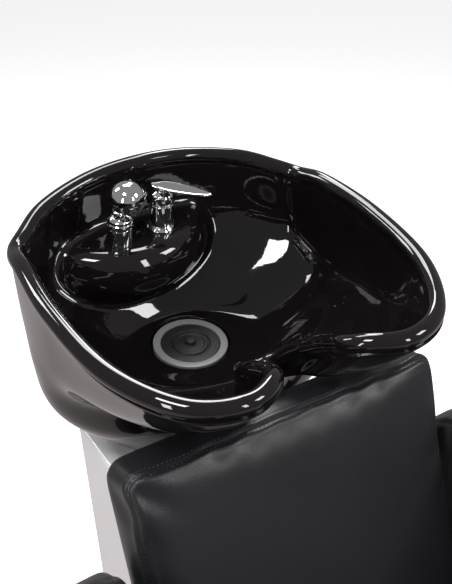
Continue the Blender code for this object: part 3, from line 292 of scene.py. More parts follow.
@dataclass(frozen=True)
class Finish:
    """A finish: the base of every material here, a coloured surface with slightly uneven gloss."""

    slot: Slot
    colour: Colour
    roughness: float
    metallic: float = 0.0
    uneven: float = 0.05
    grain: float = 300.0
    grain_height: float = 0.00002
    name: str = ""

    def material(self) -> bpy.types.Material:
        """The finish's material, made once."""
        name = f"finish_{self.name or self.slot.value}"
        return bpy.data.materials.get(name) or self.make(Graph(name))

    def make(self, graph: Graph) -> bpy.types.Material:
        """Fill the graph.

        Args:
            graph: an empty graph.

        Returns:
            The finished material.
        """
        patches = graph.noise(9.0, 4.0, 0.6)
        fine = graph.noise(self.grain, 3.0, 0.6)
        dark = tuple(0.88 * value for value in self.colour)
        light = tuple(min(1.0, 1.08 * value) for value in self.colour)
        graph.feed(Base_Color=graph.blend(patches, dark, light),
                   Metallic=self.metallic,
                   Roughness=graph.spread(patches, 0.3, 0.7, self.roughness - self.uneven,
                                          self.roughness + self.uneven),
                   Normal=graph.bump(fine, self.grain_height))
        return graph.material


@dataclass(frozen=True)
class Glaze(Finish):
    """Deep black ceramic glaze: mirror gloss over slow waves, with a few specks."""

    def make(self, graph: Graph) -> bpy.types.Material:
        """Fill the graph and return its material."""
        waves = graph.noise(7.0, 2.0, 0.4)
        peel = graph.noise(90.0, 2.0, 0.5)
        film = graph.noise(28.0, 5.0, 0.62)
        specks = graph.spread(graph.cells(420.0), 0.02, 0.05, 1.0, 0.0)
        graph.feed(Base_Color=graph.blend(film, self.colour, tuple(1.7 * v for v in self.colour)),
                   Roughness=graph.spread(film, 0.35, 0.75, self.roughness, self.roughness + self.uneven)
                   + specks * 0.10,
                   Coat_Weight=0.15, Coat_Roughness=0.02, IOR=1.50,
                   Normal=graph.bump(waves * 0.9 + peel * 0.1, 0.0016, 0.5))
        return graph.material


@dataclass(frozen=True)
class Polish(Finish):
    """Polished plated metal with faint water film."""

    def make(self, graph: Graph) -> bpy.types.Material:
        """Fill the graph and return its material."""
        film = graph.noise(60.0, 5.0, 0.65)
        graph.feed(Base_Color=graph.blend(film, tuple(0.95 * v for v in self.colour), self.colour),
                   Metallic=1.0,
                   Roughness=graph.spread(film, 0.4, 0.8, self.roughness, self.roughness + self.uneven),
                   Normal=graph.bump(graph.noise(140.0, 2.0), 0.00002, 0.4))
        return graph.material


@dataclass(frozen=True)
class Leatherette(Finish):
    """Coated fabric: pebble grain, fine creases with painted shade along them, soft sheen and slightly shiny
    wear.
    """

    def make(self, graph: Graph) -> bpy.types.Material:
        """Fill the graph and return its material."""
        where = graph.place()
        warp = graph.node("ShaderNodeTexNoise", None, {"Vector": where, "Scale": 60.0, "Detail": 2.0},
                          output="Color")
        bent = graph.node("ShaderNodeVectorMath", {"operation": "MULTIPLY_ADD"},
                          {0: warp, 1: (0.006, 0.006, 0.006), 2: where})
        pebbles = graph.cells(720.0, "SMOOTH_F1", bent)
        creases = graph.spread(graph.cells(230.0, "DISTANCE_TO_EDGE", bent), 0.0, 0.10)
        wear = graph.noise(5.5, 5.0, 0.6)
        height = (1.0 - pebbles) * 0.55 + creases * 0.45
        # Base colour: painted shade darkens the crease lines, and the wear noise adds uneven tone.
        graph.feed(Base_Color=graph.blend(creases * 0.5 + wear * 0.5,
                                          tuple(0.72 * v for v in self.colour), self.colour),
                   Roughness=graph.spread(wear, 0.3, 0.7, self.roughness + self.uneven,
                                          self.roughness - self.uneven) + pebbles * 0.08,
                   Sheen_Weight=0.03, Sheen_Roughness=0.45, Specular_IOR_Level=0.5,
                   Normal=graph.bump(height, 0.00022, 0.55))
        return graph.material


@dataclass(frozen=True)
class Gelcoat(Finish):
    """Moulded white shell: clear gloss over faint orange peel."""

    def make(self, graph: Graph) -> bpy.types.Material:
        """Fill the graph and return its material."""
        dirt = graph.noise(6.0, 5.0, 0.6)
        peel = graph.noise(260.0, 2.0, 0.5)
        graph.feed(Base_Color=graph.blend(dirt, tuple(0.965 * v for v in self.colour), self.colour),
                   Roughness=graph.spread(dirt, 0.3, 0.7, self.roughness + self.uneven, self.roughness),
                   Coat_Weight=0.35, Coat_Roughness=0.06,
                   Normal=graph.bump(peel, 0.00004, 0.5))
        return graph.material


@dataclass(frozen=True)
class Braid(Finish):
    """Stainless braid woven over a hose, with painted shade in the gaps between its strands."""

    def make(self, graph: Graph) -> bpy.types.Material:
        """Fill the graph and return its material."""
        slants = [graph.node("ShaderNodeTexWave", {"wave_type": "BANDS", "bands_direction": "DIAGONAL"},
                             {"Vector": graph.place((1.0, side, 1.0)), "Scale": 150.0, "Distortion": 0.3},
                             output="Fac")
                  for side in (1.0, -1.0)]
        strands = slants[0] * slants[1]
        # Base colour: painted shade darkens the gaps between the strands.
        graph.feed(Base_Color=graph.blend(strands, tuple(0.25 * v for v in self.colour), self.colour),
                   Metallic=self.metallic,
                   Roughness=graph.spread(strands, 0.0, 1.0, self.roughness + 0.2, self.roughness),
                   Normal=graph.bump(strands, 0.0004, 0.8))
        return graph.material


@dataclass(frozen=True)
class Plywood(Finish):
    """Bare plywood: long grain lines with darker pores."""

    def make(self, graph: Graph) -> bpy.types.Material:
        """Fill the graph and return its material."""
        along = graph.place((1.5, 14.0, 14.0))
        rings = graph.node("ShaderNodeTexWave", {"wave_type": "BANDS", "bands_direction": "Y"},
                           {"Vector": along, "Scale": 1.6, "Distortion": 9.0, "Detail": 3.0}, output="Fac")
        pores = graph.noise(90.0, 4.0, 0.7, graph.place((0.12, 3.0, 3.0)))
        graph.feed(Base_Color=graph.blend(rings * 0.6 + pores * 0.4,
                                          tuple(0.62 * v for v in self.colour), self.colour),
                   Roughness=graph.spread(pores, 0.3, 0.7, self.roughness + 0.1, self.roughness),
                   Normal=graph.bump(pores, 0.0002, 0.5))
        return graph.material


GLAZE = Glaze(Slot.GLAZE, (0.0050, 0.0036, 0.0042), 0.03, uneven=0.03)
CHROME = Polish(Slot.CHROME, (0.82, 0.82, 0.84), 0.035, uneven=0.05)
RING = Finish(Slot.RING, (0.235, 0.232, 0.236), 0.33, 0.0, 0.05, 500.0, 0.00003)
RUBBER = Finish(Slot.RUBBER, (0.016, 0.015, 0.016), 0.48, 0.0, 0.08, 700.0, 0.00005)
DARK = Finish(Slot.DARK, (0.028, 0.028, 0.030), 0.40)
LIGHT = Finish(Slot.LIGHT, (0.74, 0.74, 0.72), 0.42)
BRAID = Braid(Slot.BRAID, (0.60, 0.60, 0.61), 0.30, 0.9)
BRASS = Finish(Slot.BRASS, (0.62, 0.45, 0.18), 0.26, 1.0, 0.08)
STEEL = Finish(Slot.STEEL, (0.020, 0.020, 0.022), 0.42, 0.0, 0.06, 900.0, 0.00008)
ZINC = Finish(Slot.ZINC, (0.60, 0.60, 0.61), 0.30, 1.0, 0.08)
GELCOAT = Gelcoat(Slot.GELCOAT, (0.93, 0.93, 0.94), 0.14, uneven=0.06)
LEATHER = Leatherette(Slot.LEATHER, (0.0125, 0.0125, 0.0155), 0.36, uneven=0.05)
PLYWOOD = Plywood(Slot.PLYWOOD, (0.58, 0.42, 0.26), 0.55)
THREAD = Finish(Slot.LEATHER, (0.045, 0.045, 0.050), 0.50, 0.0, 0.05, 2500.0, 0.0001, "thread")
FINISHES = {item.slot.value: item for item in (GLAZE, CHROME, RING, RUBBER, DARK, LIGHT, BRAID, BRASS,
                                               STEEL, ZINC, GELCOAT, LEATHER, PLYWOOD)}


# ---------------------------------------------------------------- mesh making
def body_of(node: str) -> str:
    """Name of the body that a node belongs to."""
    return next(body for body, nodes in frame["record"]["behaviour"]["bodies"].items() if node in nodes)


def finished(name: str, bm: bmesh.types.BMesh, finish: Finish, nodes: Sequence[str],
             sharp: float) -> bpy.types.Object:
    """Turn a bmesh in the row frame into a dressed piece that rides on nothing yet.

    Args:
        name: the piece's name.
        bm: its mesh, freed here.
        finish: its finish.
        nodes: the CAD nodes that it stands for.
        sharp: edges that turn by more than this many degrees stay crisp.

    Returns:
        The piece.
    """
    mesh = bpy.data.meshes.new(name)
    bm.to_mesh(mesh)
    bm.free()
    mesh.shade_smooth()
    mesh.set_sharp_from_angle(angle=math.radians(sharp))
    mesh.materials.append(finish.material())
    piece = bpy.data.objects.new(name, mesh)
    bpy.context.scene.collection.objects.link(piece)
    if nodes:
        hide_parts(*nodes)
    LOG.info("%s: %d faces", name, len(mesh.polygons))
    return piece


def publish(name: str, bm: bmesh.types.BMesh, finish: Finish, *nodes: str, body: str = "",
            sharp: float = 35.0) -> bpy.types.Object:
    """Make a finished piece that rides on one body.

    Args:
        name: the piece's name.
        bm: its mesh, freed here.
        finish: its finish.
        nodes: the CAD nodes that it stands for.
        body: the body that it rides on, when it stands for no node.
        sharp: edges that turn by more than this many degrees stay crisp.

    Returns:
        The piece.
    """
    piece = finished(name, bm, finish, nodes, sharp)
    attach(piece, body or body_of(nodes[0]))
    return piece


def loft(rows: np.ndarray, round_way: bool = True, closed: bool = False) -> bmesh.types.BMesh:
    """A surface through rows of points.

    Args:
        rows: points by row, by column and by axis.
        round_way: the last column joins the first.
        closed: the last row joins the first.

    Returns:
        The surface, with doubles merged and its faces outwards where it is closed.
    """
    if round_way:
        rows = np.concatenate([rows, rows[:, :1]], axis=1)
    if closed:
        rows = np.concatenate([rows, rows[:1]], axis=0)
    count, width = rows.shape[:2]
    bm = bmesh.new()
    bmesh.ops.create_grid(bm, x_segments=width - 1, y_segments=count - 1, size=1.0)
    for vert in bm.verts:
        column = round((vert.co.x + 1.0) / 2.0 * (width - 1))
        row = round((vert.co.y + 1.0) / 2.0 * (count - 1))
        vert.co = rows[row, column]
    bmesh.ops.remove_doubles(bm, verts=bm.verts, dist=0.0000005)
    bmesh.ops.recalc_face_normals(bm, faces=bm.faces)
    return bm


def rounded(corners: Sequence[Point], steps: int = 5) -> list[Pair]:
    """A profile with rounded corners.

    Args:
        corners: x, y and the corner's radius, in order.
        steps: points on each rounded corner, less one.

    Returns:
        The profile's points.
    """
    points: list[Pair] = []
    for index, (x, y, radius) in enumerate(corners):
        here = Vector((x, y))
        if radius <= 0.0 or index in (0, len(corners) - 1):
            points.append((x, y))
            continue
        back = (Vector(corners[index - 1][:2]) - here)
        ahead = (Vector(corners[index + 1][:2]) - here)
        half = back.angle(ahead) / 2.0
        run = min(radius / math.tan(half), 0.49 * back.length, 0.49 * ahead.length)
        start, end = here + back.normalized() * run, here + ahead.normalized() * run
        for step in range(steps + 1):
            f = step / steps
            points.append(tuple((1 - f) ** 2 * start + 2 * f * (1 - f) * here + f * f * end))
    return points


def turned(profile: Sequence[Pair], place: Matrix, steps: int = 64) -> bmesh.types.BMesh:
    """A turned piece: a profile of radius and height spun about Z.

    Args:
        profile: radius and height of each point; closed by the spin when its ends lie on the axis.
        place: from the piece's frame to the row frame.
        steps: sides.

    Returns:
        The turned mesh.
    """
    bm = bmesh.new()
    verts = [bm.verts.new((max(radius, 0.0), 0.0, height)) for radius, height in profile]
    for first, second in zip(verts, verts[1:]):
        bm.edges.new((first, second))
    if profile[0][0] > 0.0:
        bm.edges.new((verts[-1], verts[0]))
    bmesh.ops.spin(bm, geom=bm.verts[:] + bm.edges[:], cent=(0.0, 0.0, 0.0), axis=(0.0, 0.0, 1.0),
                   angle=math.tau, steps=steps, use_merge=True)
    bmesh.ops.remove_doubles(bm, verts=bm.verts, dist=0.000001)
    bmesh.ops.recalc_face_normals(bm, faces=bm.faces)
    bmesh.ops.transform(bm, matrix=place, verts=bm.verts)
    return bm


def catmull(points: np.ndarray, places: np.ndarray) -> np.ndarray:
    """Points on the Catmull-Rom curve through rows of values, with straight run-outs at its ends."""
    last = len(points) - 1
    index = np.minimum(places.astype(int), last - 1)
    f = (places - index).reshape(-1, *([1] * (points.ndim - 1)))
    padded = np.concatenate([[2.0 * points[0] - points[1]], points, [2.0 * points[-1] - points[-2]]])
    p0, p1, p2, p3 = (padded[index + shift] for shift in range(4))
    return 0.5 * (2.0 * p1 + (p2 - p0) * f + (2.0 * p0 - 5.0 * p1 + 4.0 * p2 - p3) * f ** 2
                  + (3.0 * p1 - p0 - 3.0 * p2 + p3) * f ** 3)


def arc(centre: Pair, radius: float, start: float, end: float, count: int) -> list[Pair]:
    """Points on an arc, from one angle to another in degrees."""
    turns = np.radians(np.linspace(start, end, count))
    return [(centre[0] + radius * math.cos(turn), centre[1] + radius * math.sin(turn)) for turn in turns]


def evaluated(piece: bpy.types.Object) -> bpy.types.Mesh:
    """A new mesh of the piece with its modifiers done."""
    return bpy.data.meshes.new_from_object(piece.evaluated_get(bpy.context.evaluated_depsgraph_get()))


def cut(bm: bmesh.types.BMesh, cutters: Iterable[bmesh.types.BMesh]) -> bmesh.types.BMesh:
    """Take closed meshes away from a closed mesh.

    Args:
        bm: the mesh to cut, freed here.
        cutters: the meshes to take away, freed here.

    Returns:
        The cut mesh.
    """
    mesh = bpy.data.meshes.new("blank")
    bm.to_mesh(mesh)
    bm.free()
    piece = bpy.data.objects.new("blank", mesh)
    bpy.context.scene.collection.objects.link(piece)
    helpers = [piece]
    for cutter in cutters:
        tool = bpy.data.meshes.new("tool")
        cutter.to_mesh(tool)
        cutter.free()
        helper = bpy.data.objects.new("tool", tool)
        bpy.context.scene.collection.objects.link(helper)
        modifier = piece.modifiers.new("Cut", "BOOLEAN")
        modifier.object = helper
        modifier.solver = "EXACT"
        modifier.operation = "DIFFERENCE"
        helpers.append(helper)
    done = evaluated(piece)
    result = bmesh.new()
    result.from_mesh(done)
    for helper in helpers:
        bpy.data.objects.remove(helper)
    return result


def box(size: Point, centre: Point, place: Matrix = Matrix.Identity(4), bevel: float = 0.0,
        segments: int = 2) -> bmesh.types.BMesh:
    """A box with softened edges.

    Args:
        size: its sides.
        centre: its middle in its own frame.
        place: from its frame to the row frame.
        bevel: radius of the edges.
        segments: faces across each softened edge.

    Returns:
        The box.
    """
    bm = bmesh.new()
    bmesh.ops.create_cube(bm, size=1.0)
    bmesh.ops.scale(bm, vec=size, verts=bm.verts)
    if bevel > 0.0:
        bmesh.ops.bevel(bm, geom=bm.edges[:], offset=bevel, segments=segments, profile=0.5, affect="EDGES",
                        material=-1)
    bmesh.ops.translate(bm, vec=centre, verts=bm.verts)
    bmesh.ops.transform(bm, matrix=place, verts=bm.verts)
    return bm


def refined(node: str, width: float = 0.0008, sharp: float = 30.0) -> bmesh.types.BMesh:
    """A copy of a CAD node with its doubles merged, flats joined and sharp edges softened.

    Args:
        node: the node.
        width: width of the softened edges.
        sharp: edges that turn by more than this many degrees are softened.

    Returns:
        The copy.
    """
    bm = bmesh.new()
    bm.from_mesh(frame["nodes"][node].data)
    bmesh.ops.remove_doubles(bm, verts=bm.verts, dist=0.00001)
    bmesh.ops.dissolve_limit(bm, angle_limit=math.radians(0.5), verts=bm.verts, edges=bm.edges)
    limit = math.radians(sharp)
    edges = [edge for edge in bm.edges if edge.is_manifold and edge.calc_face_angle(0.0) > limit]
    if width > 0.0:
        bmesh.ops.bevel(bm, geom=edges, offset=width, segments=2, profile=0.5, affect="EDGES", material=-1,
                        clamp_overlap=True)
    bmesh.ops.recalc_face_normals(bm, faces=bm.faces)
    return bm


# ---------------------------------------------------------------- basin
@dataclass
class Basin:
    """The ceramic basin: rolled rim with a neck notch, deep bowl and a tap shelf in its back left corner."""

    crest: tuple[tuple[float, float, float, float], ...] = (
        (0.000, 0.170, 0.240, 0.0), (0.083, 0.166, 0.234, 25.0), (0.162, 0.137, 0.225, 47.0),
        (0.209, 0.099, 0.214, 62.0), (0.231, 0.074, 0.209, 70.0), (0.241, 0.020, 0.220, 83.0),
        (0.248, -0.088, 0.221, 106.0), (0.233, -0.212, 0.217, 130.0), (0.183, -0.298, 0.213, 147.0),
        (0.116, -0.326, 0.213, 158.0), (0.062, -0.295, 0.204, 164.0), (0.053, -0.245, 0.173, 168.0),
        (0.043, -0.207, 0.140, 172.0), (0.021, -0.180, 0.107, 176.5), (0.000, -0.174, 0.096, 180.0))
    roll: float = 0.0125
    tuck: float = math.radians(40.0)
    wall: float = 0.009
    middle: float = -0.015
    outer_mid: tuple[float, float, float, float] = (0.248, 0.178, 0.163, 0.050)
    outer_low: tuple[float, float, float, float] = (0.234, 0.172, 0.152, -0.012)
    outer_foot: tuple[float, float, float, float] = (0.182, 0.146, 0.128, -0.074)
    inner_mid: tuple[float, float, float, float] = (0.208, 0.137, 0.148, 0.062)
    inner_floor: tuple[float, float, float, float] = (0.120, 0.095, 0.100, 0.010)
    recess: float = 0.0615
    recess_depth: float = 0.0108
    hole: float = 0.032
    shelf_centre: Point = (-0.036, 0.180, 0.097)
    shelf_radii: Point = (0.150, 0.127, 0.078)
    shelf_turn: float = math.radians(-10.0)
    deck_edge: float = 0.008
    fillet: float = 0.016
    eye: Point = (-0.025, -0.150, 0.260)
    columns: int = 352

    def rim(self) -> tuple[np.ndarray, ...]:
        """Crest, body direction, outward and upward directions of each column.

        Columns stand closer together beside the tap shelf.
        """
        half = np.array(self.crest)
        ends = np.array([[-half[1, 0], *half[1, 1:3], -half[1, 3]], [-half[-2, 0], *half[-2, 1:3],
                                                                     360.0 - half[-2, 3]]])
        knots = np.concatenate([ends[:1], half, ends[1:]])
        side = catmull(knots, np.linspace(1.0, len(knots) - 2.0, 1200))
        other = side[-2:0:-1] * (-1.0, 1.0, 1.0, -1.0) + (0.0, 0.0, 0.0, 360.0)
        ring = np.concatenate([side, other, side[:1] + (0.0, 0.0, 0.0, 360.0)])
        steps = np.linalg.norm(np.diff(ring[:, :3], axis=0), axis=1)
        centre = (ring[1:, 3] + ring[:-1, 3]) / 2.0
        near = np.exp(-((np.minimum(centre, 360.0 - centre) * np.sign(180.0 - centre) + 20.0) / 48.0) ** 4)
        measure = np.concatenate([[0.0], np.cumsum(steps * (1.0 + 1.3 * near))])
        places = np.linspace(0.0, measure[-1], self.columns, endpoint=False)
        column = np.stack([np.interp(places, measure, ring[:, axis]) for axis in range(4)], axis=1)
        slopes = np.gradient(ring[:, :3], axis=0)
        along = np.stack([np.interp(places, measure, slopes[:, axis]) for axis in range(3)], axis=1)
        outward = np.stack([-along[:, 1], along[:, 0], 0.0 * places], axis=1)
        outward /= np.linalg.norm(outward, axis=1)[:, None]
        along /= np.linalg.norm(along, axis=1)[:, None]
        upward = np.cross(outward, along)
        upward *= np.sign(upward[:, 2])[:, None]
        return column[:, :3], column[:, 3], outward, upward

    def level(self, outline: tuple[float, float, float, float], angles: np.ndarray, inset: float = 0.0,
              drop: float = 0.0) -> np.ndarray:
        """A level ring of the body, one point for each column."""
        half, back, front, height = outline
        turn = np.radians(angles)
        reach = np.where(np.cos(turn) > 0.0, back, front) - inset
        return np.stack([(half - inset) * np.sin(turn), self.middle + reach * np.cos(turn),
                         np.full(len(turn), height - drop)], axis=1)

    def circle(self, radius: float, height: float, angles: np.ndarray) -> np.ndarray:
        """A circle round the drain, one point for each column."""
        turn = np.radians(angles)
        return np.stack([radius * np.sin(turn), radius * np.cos(turn), np.full(len(turn), height)], axis=1)

    def shelf(self, points: np.ndarray) -> np.ndarray:
        """Signed distance to the tap shelf's body, with its deck edge rounded."""
        turn = Matrix.Rotation(-self.shelf_turn, 3, "Z")
        local = (points - self.shelf_centre) @ np.array(turn).T
        radii = np.array(self.shelf_radii)
        reach = np.linalg.norm(local / radii, axis=-1)
        body = reach * (reach - 1.0) / np.linalg.norm(local / radii ** 2, axis=-1)
        deck = (points[..., 2] - DECK_Z - DECK_SLOPE * points[..., 1]) * math.cos(math.atan(DECK_SLOPE))
        return -smooth_min(-body, -deck, self.deck_edge)

    def with_shelf(self, inside: np.ndarray) -> np.ndarray:
        """Pull the bowl's wall out over the tap shelf, with a fillet where they meet.

        Args:
            inside: rows of the bowl's inner surface.

        Returns:
            The rows moved along rays from a point over the bowl.
        """
        eye = np.array(self.eye)
        rays = inside - eye
        reach = np.linalg.norm(rays, axis=-1)
        rays = rays / reach[..., None]
        across = np.roll(inside, -1, axis=1) - np.roll(inside, 1, axis=1)
        down = np.gradient(inside, axis=0)
        normal = np.cross(across, down)
        normal /= np.linalg.norm(normal, axis=-1)[..., None] + 1e-12
        facing = np.clip(np.abs((normal * rays).sum(-1)), 0.35, 1.0)

        def clearance(t: np.ndarray) -> np.ndarray:
            return smooth_min((reach - t) * facing, self.shelf(eye + rays * t[..., None]), self.fillet)

        low, high, found = 0.0 * reach, reach.copy(), np.zeros(reach.shape, bool)
        for step in range(1, 90):
            t = reach * step / 90.0
            hit = (clearance(t) <= 0.0) & ~found
            high = np.where(hit, t, high)
            found |= hit
            low = np.where(found, low, t)
        for _ in range(30):
            t = (low + high) / 2.0
            hit = clearance(t) <= 0.0
            high = np.where(hit, t, high)
            low = np.where(hit, low, t)
        moved = smooth_min(0.0 * reach, self.shelf(inside), self.fillet) < 0.0
        moved |= found
        return np.where(moved[..., None], eye + rays * high[..., None], inside)

    def rows(self) -> np.ndarray:
        """All rows of the basin's wall, as one closed loft in the basin's frame."""
        crest, angles, outward, upward = self.rim()
        middle = crest - self.roll * upward
        turns = np.linspace(math.pi + self.tuck, -self.tuck, 18)
        roll = np.stack([middle + self.roll * (math.cos(t) * outward + math.sin(t) * upward) for t in turns])
        cove = roll[-1] - 0.002 * outward - 0.010 * upward
        mid = self.level(self.outer_mid, angles)
        mid[:, 2] = np.minimum(mid[:, 2], cove[:, 2] - 0.020)
        belly = cove * (0.60, 0.60, 0.42) + mid * (0.40, 0.40, 0.58)
        outer = np.stack([roll[-1], cove, belly, mid, self.level(self.outer_low, angles),
                          self.level(self.outer_foot, angles)])
        inner = np.stack([self.circle(self.recess + 0.0015, 0.0, angles),
                          self.level(self.inner_floor, angles),
                          self.level(self.inner_mid, angles), belly - 0.012 * outward + (0.0, 0.0, 0.006),
                          roll[0]])
        inside = self.with_shelf(catmull(inner, np.linspace(0.0, 4.0, 112)))
        edge = rounded([(self.recess - 0.010, -self.recess_depth, 0.0),
                        (self.recess, -self.recess_depth, 0.002), (self.recess, 0.0, 0.0015),
                        (self.recess + 0.0015, 0.0, 0.0)], 4)
        seat = np.stack([self.circle(self.hole, -self.recess_depth, angles)]
                        + [self.circle(radius, height, angles) for radius, height in edge[:-1]])
        outside = catmull(outer, np.linspace(0.0, 5.0, 46))
        floor = -self.recess_depth - self.wall
        under = np.stack([self.level(self.outer_foot, angles),
                          self.level(self.outer_foot, angles, 0.004, 0.003),
                          self.level(self.outer_foot, angles, self.wall),
                          self.level(self.outer_low, angles, self.wall),
                          self.level(self.inner_mid, angles, 0.004, 0.030),
                          self.level(self.inner_floor, angles, 0.0, 0.016),
                          self.circle(self.recess, floor, angles), self.circle(self.hole, floor, angles)])
        below = catmull(under, np.linspace(0.0, 7.0, 20))
        return np.concatenate([seat, inside, roll[1:-1], outside, below[1:]])

    def build(self) -> None:
        """Make the basin."""
        bm = loft(self.rows(), True, True)
        bmesh.ops.transform(bm, matrix=BASIN, verts=bm.verts)
        publish("basin_bowl", bm, GLAZE, "basin", sharp=48.0)


def smooth_min(first: np.ndarray, second: np.ndarray, width: float) -> np.ndarray:
    """The smaller of two distances, rounded where they cross over a width."""
    overlap = np.maximum(width - np.abs(first - second), 0.0) / width
    return np.minimum(first, second) - overlap * overlap * width / 4.0


# ---------------------------------------------------------------- drain
@dataclass
class Drain:
    """Grey drain ring, rubber strainer, gasket and nut."""

    ring: float = 0.0575
    mouth: float = 0.046
    depth: float = 0.009
    step: float = 0.0065
    tail: float = 0.028
    bore: float = 0.0245
    tail_length: float = 0.062
    strainer_thick: float = 0.005
    knob: float = 0.007
    knob_height: float = 0.007

    def build(self) -> None:
        """Make the ring, the strainer, the gasket and the nut."""
        profile = rounded([(self.mouth, -self.step, 0.0), (self.mouth, 0.0, 0.0009), (self.ring, 0.0, 0.0012),
                           (self.ring, -self.depth, 0.001), (self.tail, -self.depth, 0.0005),
                           (self.tail, -self.tail_length, 0.001), (self.bore, -self.tail_length, 0.0005),
                           (self.bore, -self.step, 0.001), (self.mouth, -self.step, 0.0)])[:-1]
        publish("drain_flange", turned(profile, BASIN, 96), RING, "drain_ring")
        low = -self.step + GAP
        top = low + self.strainer_thick
        edge = self.mouth - 0.0007
        crown = top + self.knob_height
        profile = rounded([(0.0, crown, 0.0), (self.knob, crown, 0.0028),
                           (self.knob + 0.001, top - 0.0008, 0.0022),
                           (0.0215, top - 0.0012, 0.002), (0.0225, top + 0.0002, 0.0008),
                           (0.0262, top + 0.0002, 0.0008), (0.0276, top - 0.0026, 0.001),
                           (0.0300, top - 0.0026, 0.001), (0.0312, top, 0.0012),
                           (edge, top, 0.0014), (edge, low, 0.0008), (0.0, low, 0.0)])
        publish("drain_strainer", turned(profile, BASIN, 96), RUBBER, "strainer")
        publish("drain_seal", refined("drain_gasket", 0.0003), RUBBER, "drain_gasket")
        publish("drain_locknut", refined("drain_nut"), DARK, "drain_nut")


# ---------------------------------------------------------------- taps
@dataclass
class Mixer:
    """Lever mixer: flange, body with a groove, turning cap and a leaf-shaped lever."""

    radius: float = 0.0172
    flange: float = 0.0225
    flange_thick: float = 0.006
    body: float = 0.040
    shank: float = 0.0130
    shank_length: float = 0.045
    cap: float = 0.0178
    cap_height: float = 0.019
    dome: tuple[Pair, ...] = ((0.54, 0.0011), (0.67, 0.0028), (0.87, 0.0050), (0.97, 0.0075), (1.0, 0.0110))
    ball: float = 0.0094
    turn: float = math.radians(28.0)
    rise: float = math.radians(9.0)
    lever_back: float = 0.018
    lever_reach: float = 0.088
    lever_half: float = 0.0145
    lever_thick: float = 0.0075
    lever_lift: float = 0.0098

    def build(self) -> None:
        """Make the mixer's pieces."""
        deck = on_deck(MIXER_XY)
        bore = self.shank + GAP
        top = self.flange_thick
        profile = rounded([(bore, GAP, 0.0), (self.flange, GAP, 0.0004), (self.flange, 0.002, 0.001),
                           (self.flange - 0.003, top, 0.002), (self.radius + 0.0002, top, 0.0005),
                           (bore, top, 0.0), (bore, GAP, 0.0)])[:-1]
        publish("mixer_base", turned(profile, deck, 80), CHROME, "mixer_flange")
        low = top + GAP
        high = low + self.body
        groove = self.radius - 0.0010
        profile = rounded([(0.0, -self.shank_length, 0.0), (self.shank, -self.shank_length, 0.001),
                           (self.shank, low, 0.0), (self.radius, low, 0.0006),
                           (self.radius, high - 0.0045, 0.0005), (groove, high - 0.0038, 0.0004),
                           (groove, high - 0.0026, 0.0004), (self.radius, high - 0.0020, 0.0005),
                           (self.radius, high, 0.0008), (0.0, high, 0.0)])
        publish("mixer_barrel", turned(profile, deck, 80), CHROME, "mixer_body")
        publish("mixer_locknut", refined("mixer_nut"), DARK, "mixer_nut")
        swivel = (deck @ Matrix.Translation((0.0, 0.0, high + GAP))
                  @ Matrix.Rotation(self.turn - math.pi / 2.0, 4, "Z"))
        middle = self.cap_height - 0.006
        dome = [(self.cap * share, self.cap_height - drop, 0.002) for share, drop in reversed(self.dome)]
        socket = arc((0.0, middle), self.ball + GAP, 30.0, -90.0, 18)
        profile = rounded([(0.0, 0.0, 0.0), (self.cap, 0.0, 0.0008)] + dome + [(*socket[0], 0.0)])
        publish("mixer_turret", turned(profile + socket[1:], swivel, 80), CHROME, "mixer_cap")
        publish("mixer_pin", refined("lever_pin", 0.0002), CHROME, "lever_pin")
        self.build_lever(swivel @ Matrix.Translation((0.0, 0.0, middle)))

    def build_lever(self, hinge: Matrix) -> None:
        """Make the lever as one blade with a crowned top, thick over the cap and thin at its tip.

        Args:
            hinge: the lever's placement, with +X along it.
        """
        count = 56
        turns = np.linspace(0.0, math.tau, 48, endpoint=False)
        rows = []
        for f in np.linspace(0.0, 1.0, count):
            ease = 0.5 - 0.5 * math.cos(math.pi * f)
            x = -self.lever_back + ease * (self.lever_back + self.lever_reach)
            if x < 0.010:
                g = (x - 0.010) / (self.lever_back + 0.010)
                half = self.lever_half * math.sqrt(max(0.0, 1.0 - g ** 2))
            else:
                g = (x - 0.010) / (self.lever_reach - 0.010)
                tip = 0.0034 * g * math.sqrt(max(0.0, 1.0 - g ** 12))
                half = self.lever_half * (1.0 - g ** 1.55) ** 0.9 + tip
            blade = self.lever_thick * (1.0 - 0.48 * max(0.0, x) / self.lever_reach)
            thick = blade * min(1.0, half / 0.0030) ** 0.7
            bow = 0.0030 * (max(0.0, x) / self.lever_reach) ** 2 + self.lever_lift
            c, s = np.cos(turns), np.sin(turns)
            across = half * np.sign(c) * np.abs(c) ** 0.75
            up = np.where(s > 0.0, 0.42, 0.58) * thick * np.sign(s) * np.abs(s) ** 0.62
            rows.append(np.stack([np.full(len(turns), x), across, up + bow + blade / 2.0], axis=1))
        bm = loft(np.array(rows), True, False)
        tilt = Matrix.Rotation(-self.rise, 4, "Y")
        bmesh.ops.transform(bm, matrix=hinge @ tilt, verts=bm.verts)
        bmesh.ops.create_uvsphere(bm, u_segments=48, v_segments=24, radius=self.ball, matrix=hinge)
        publish("mixer_blade", bm, CHROME, "mixer_lever", sharp=50.0)


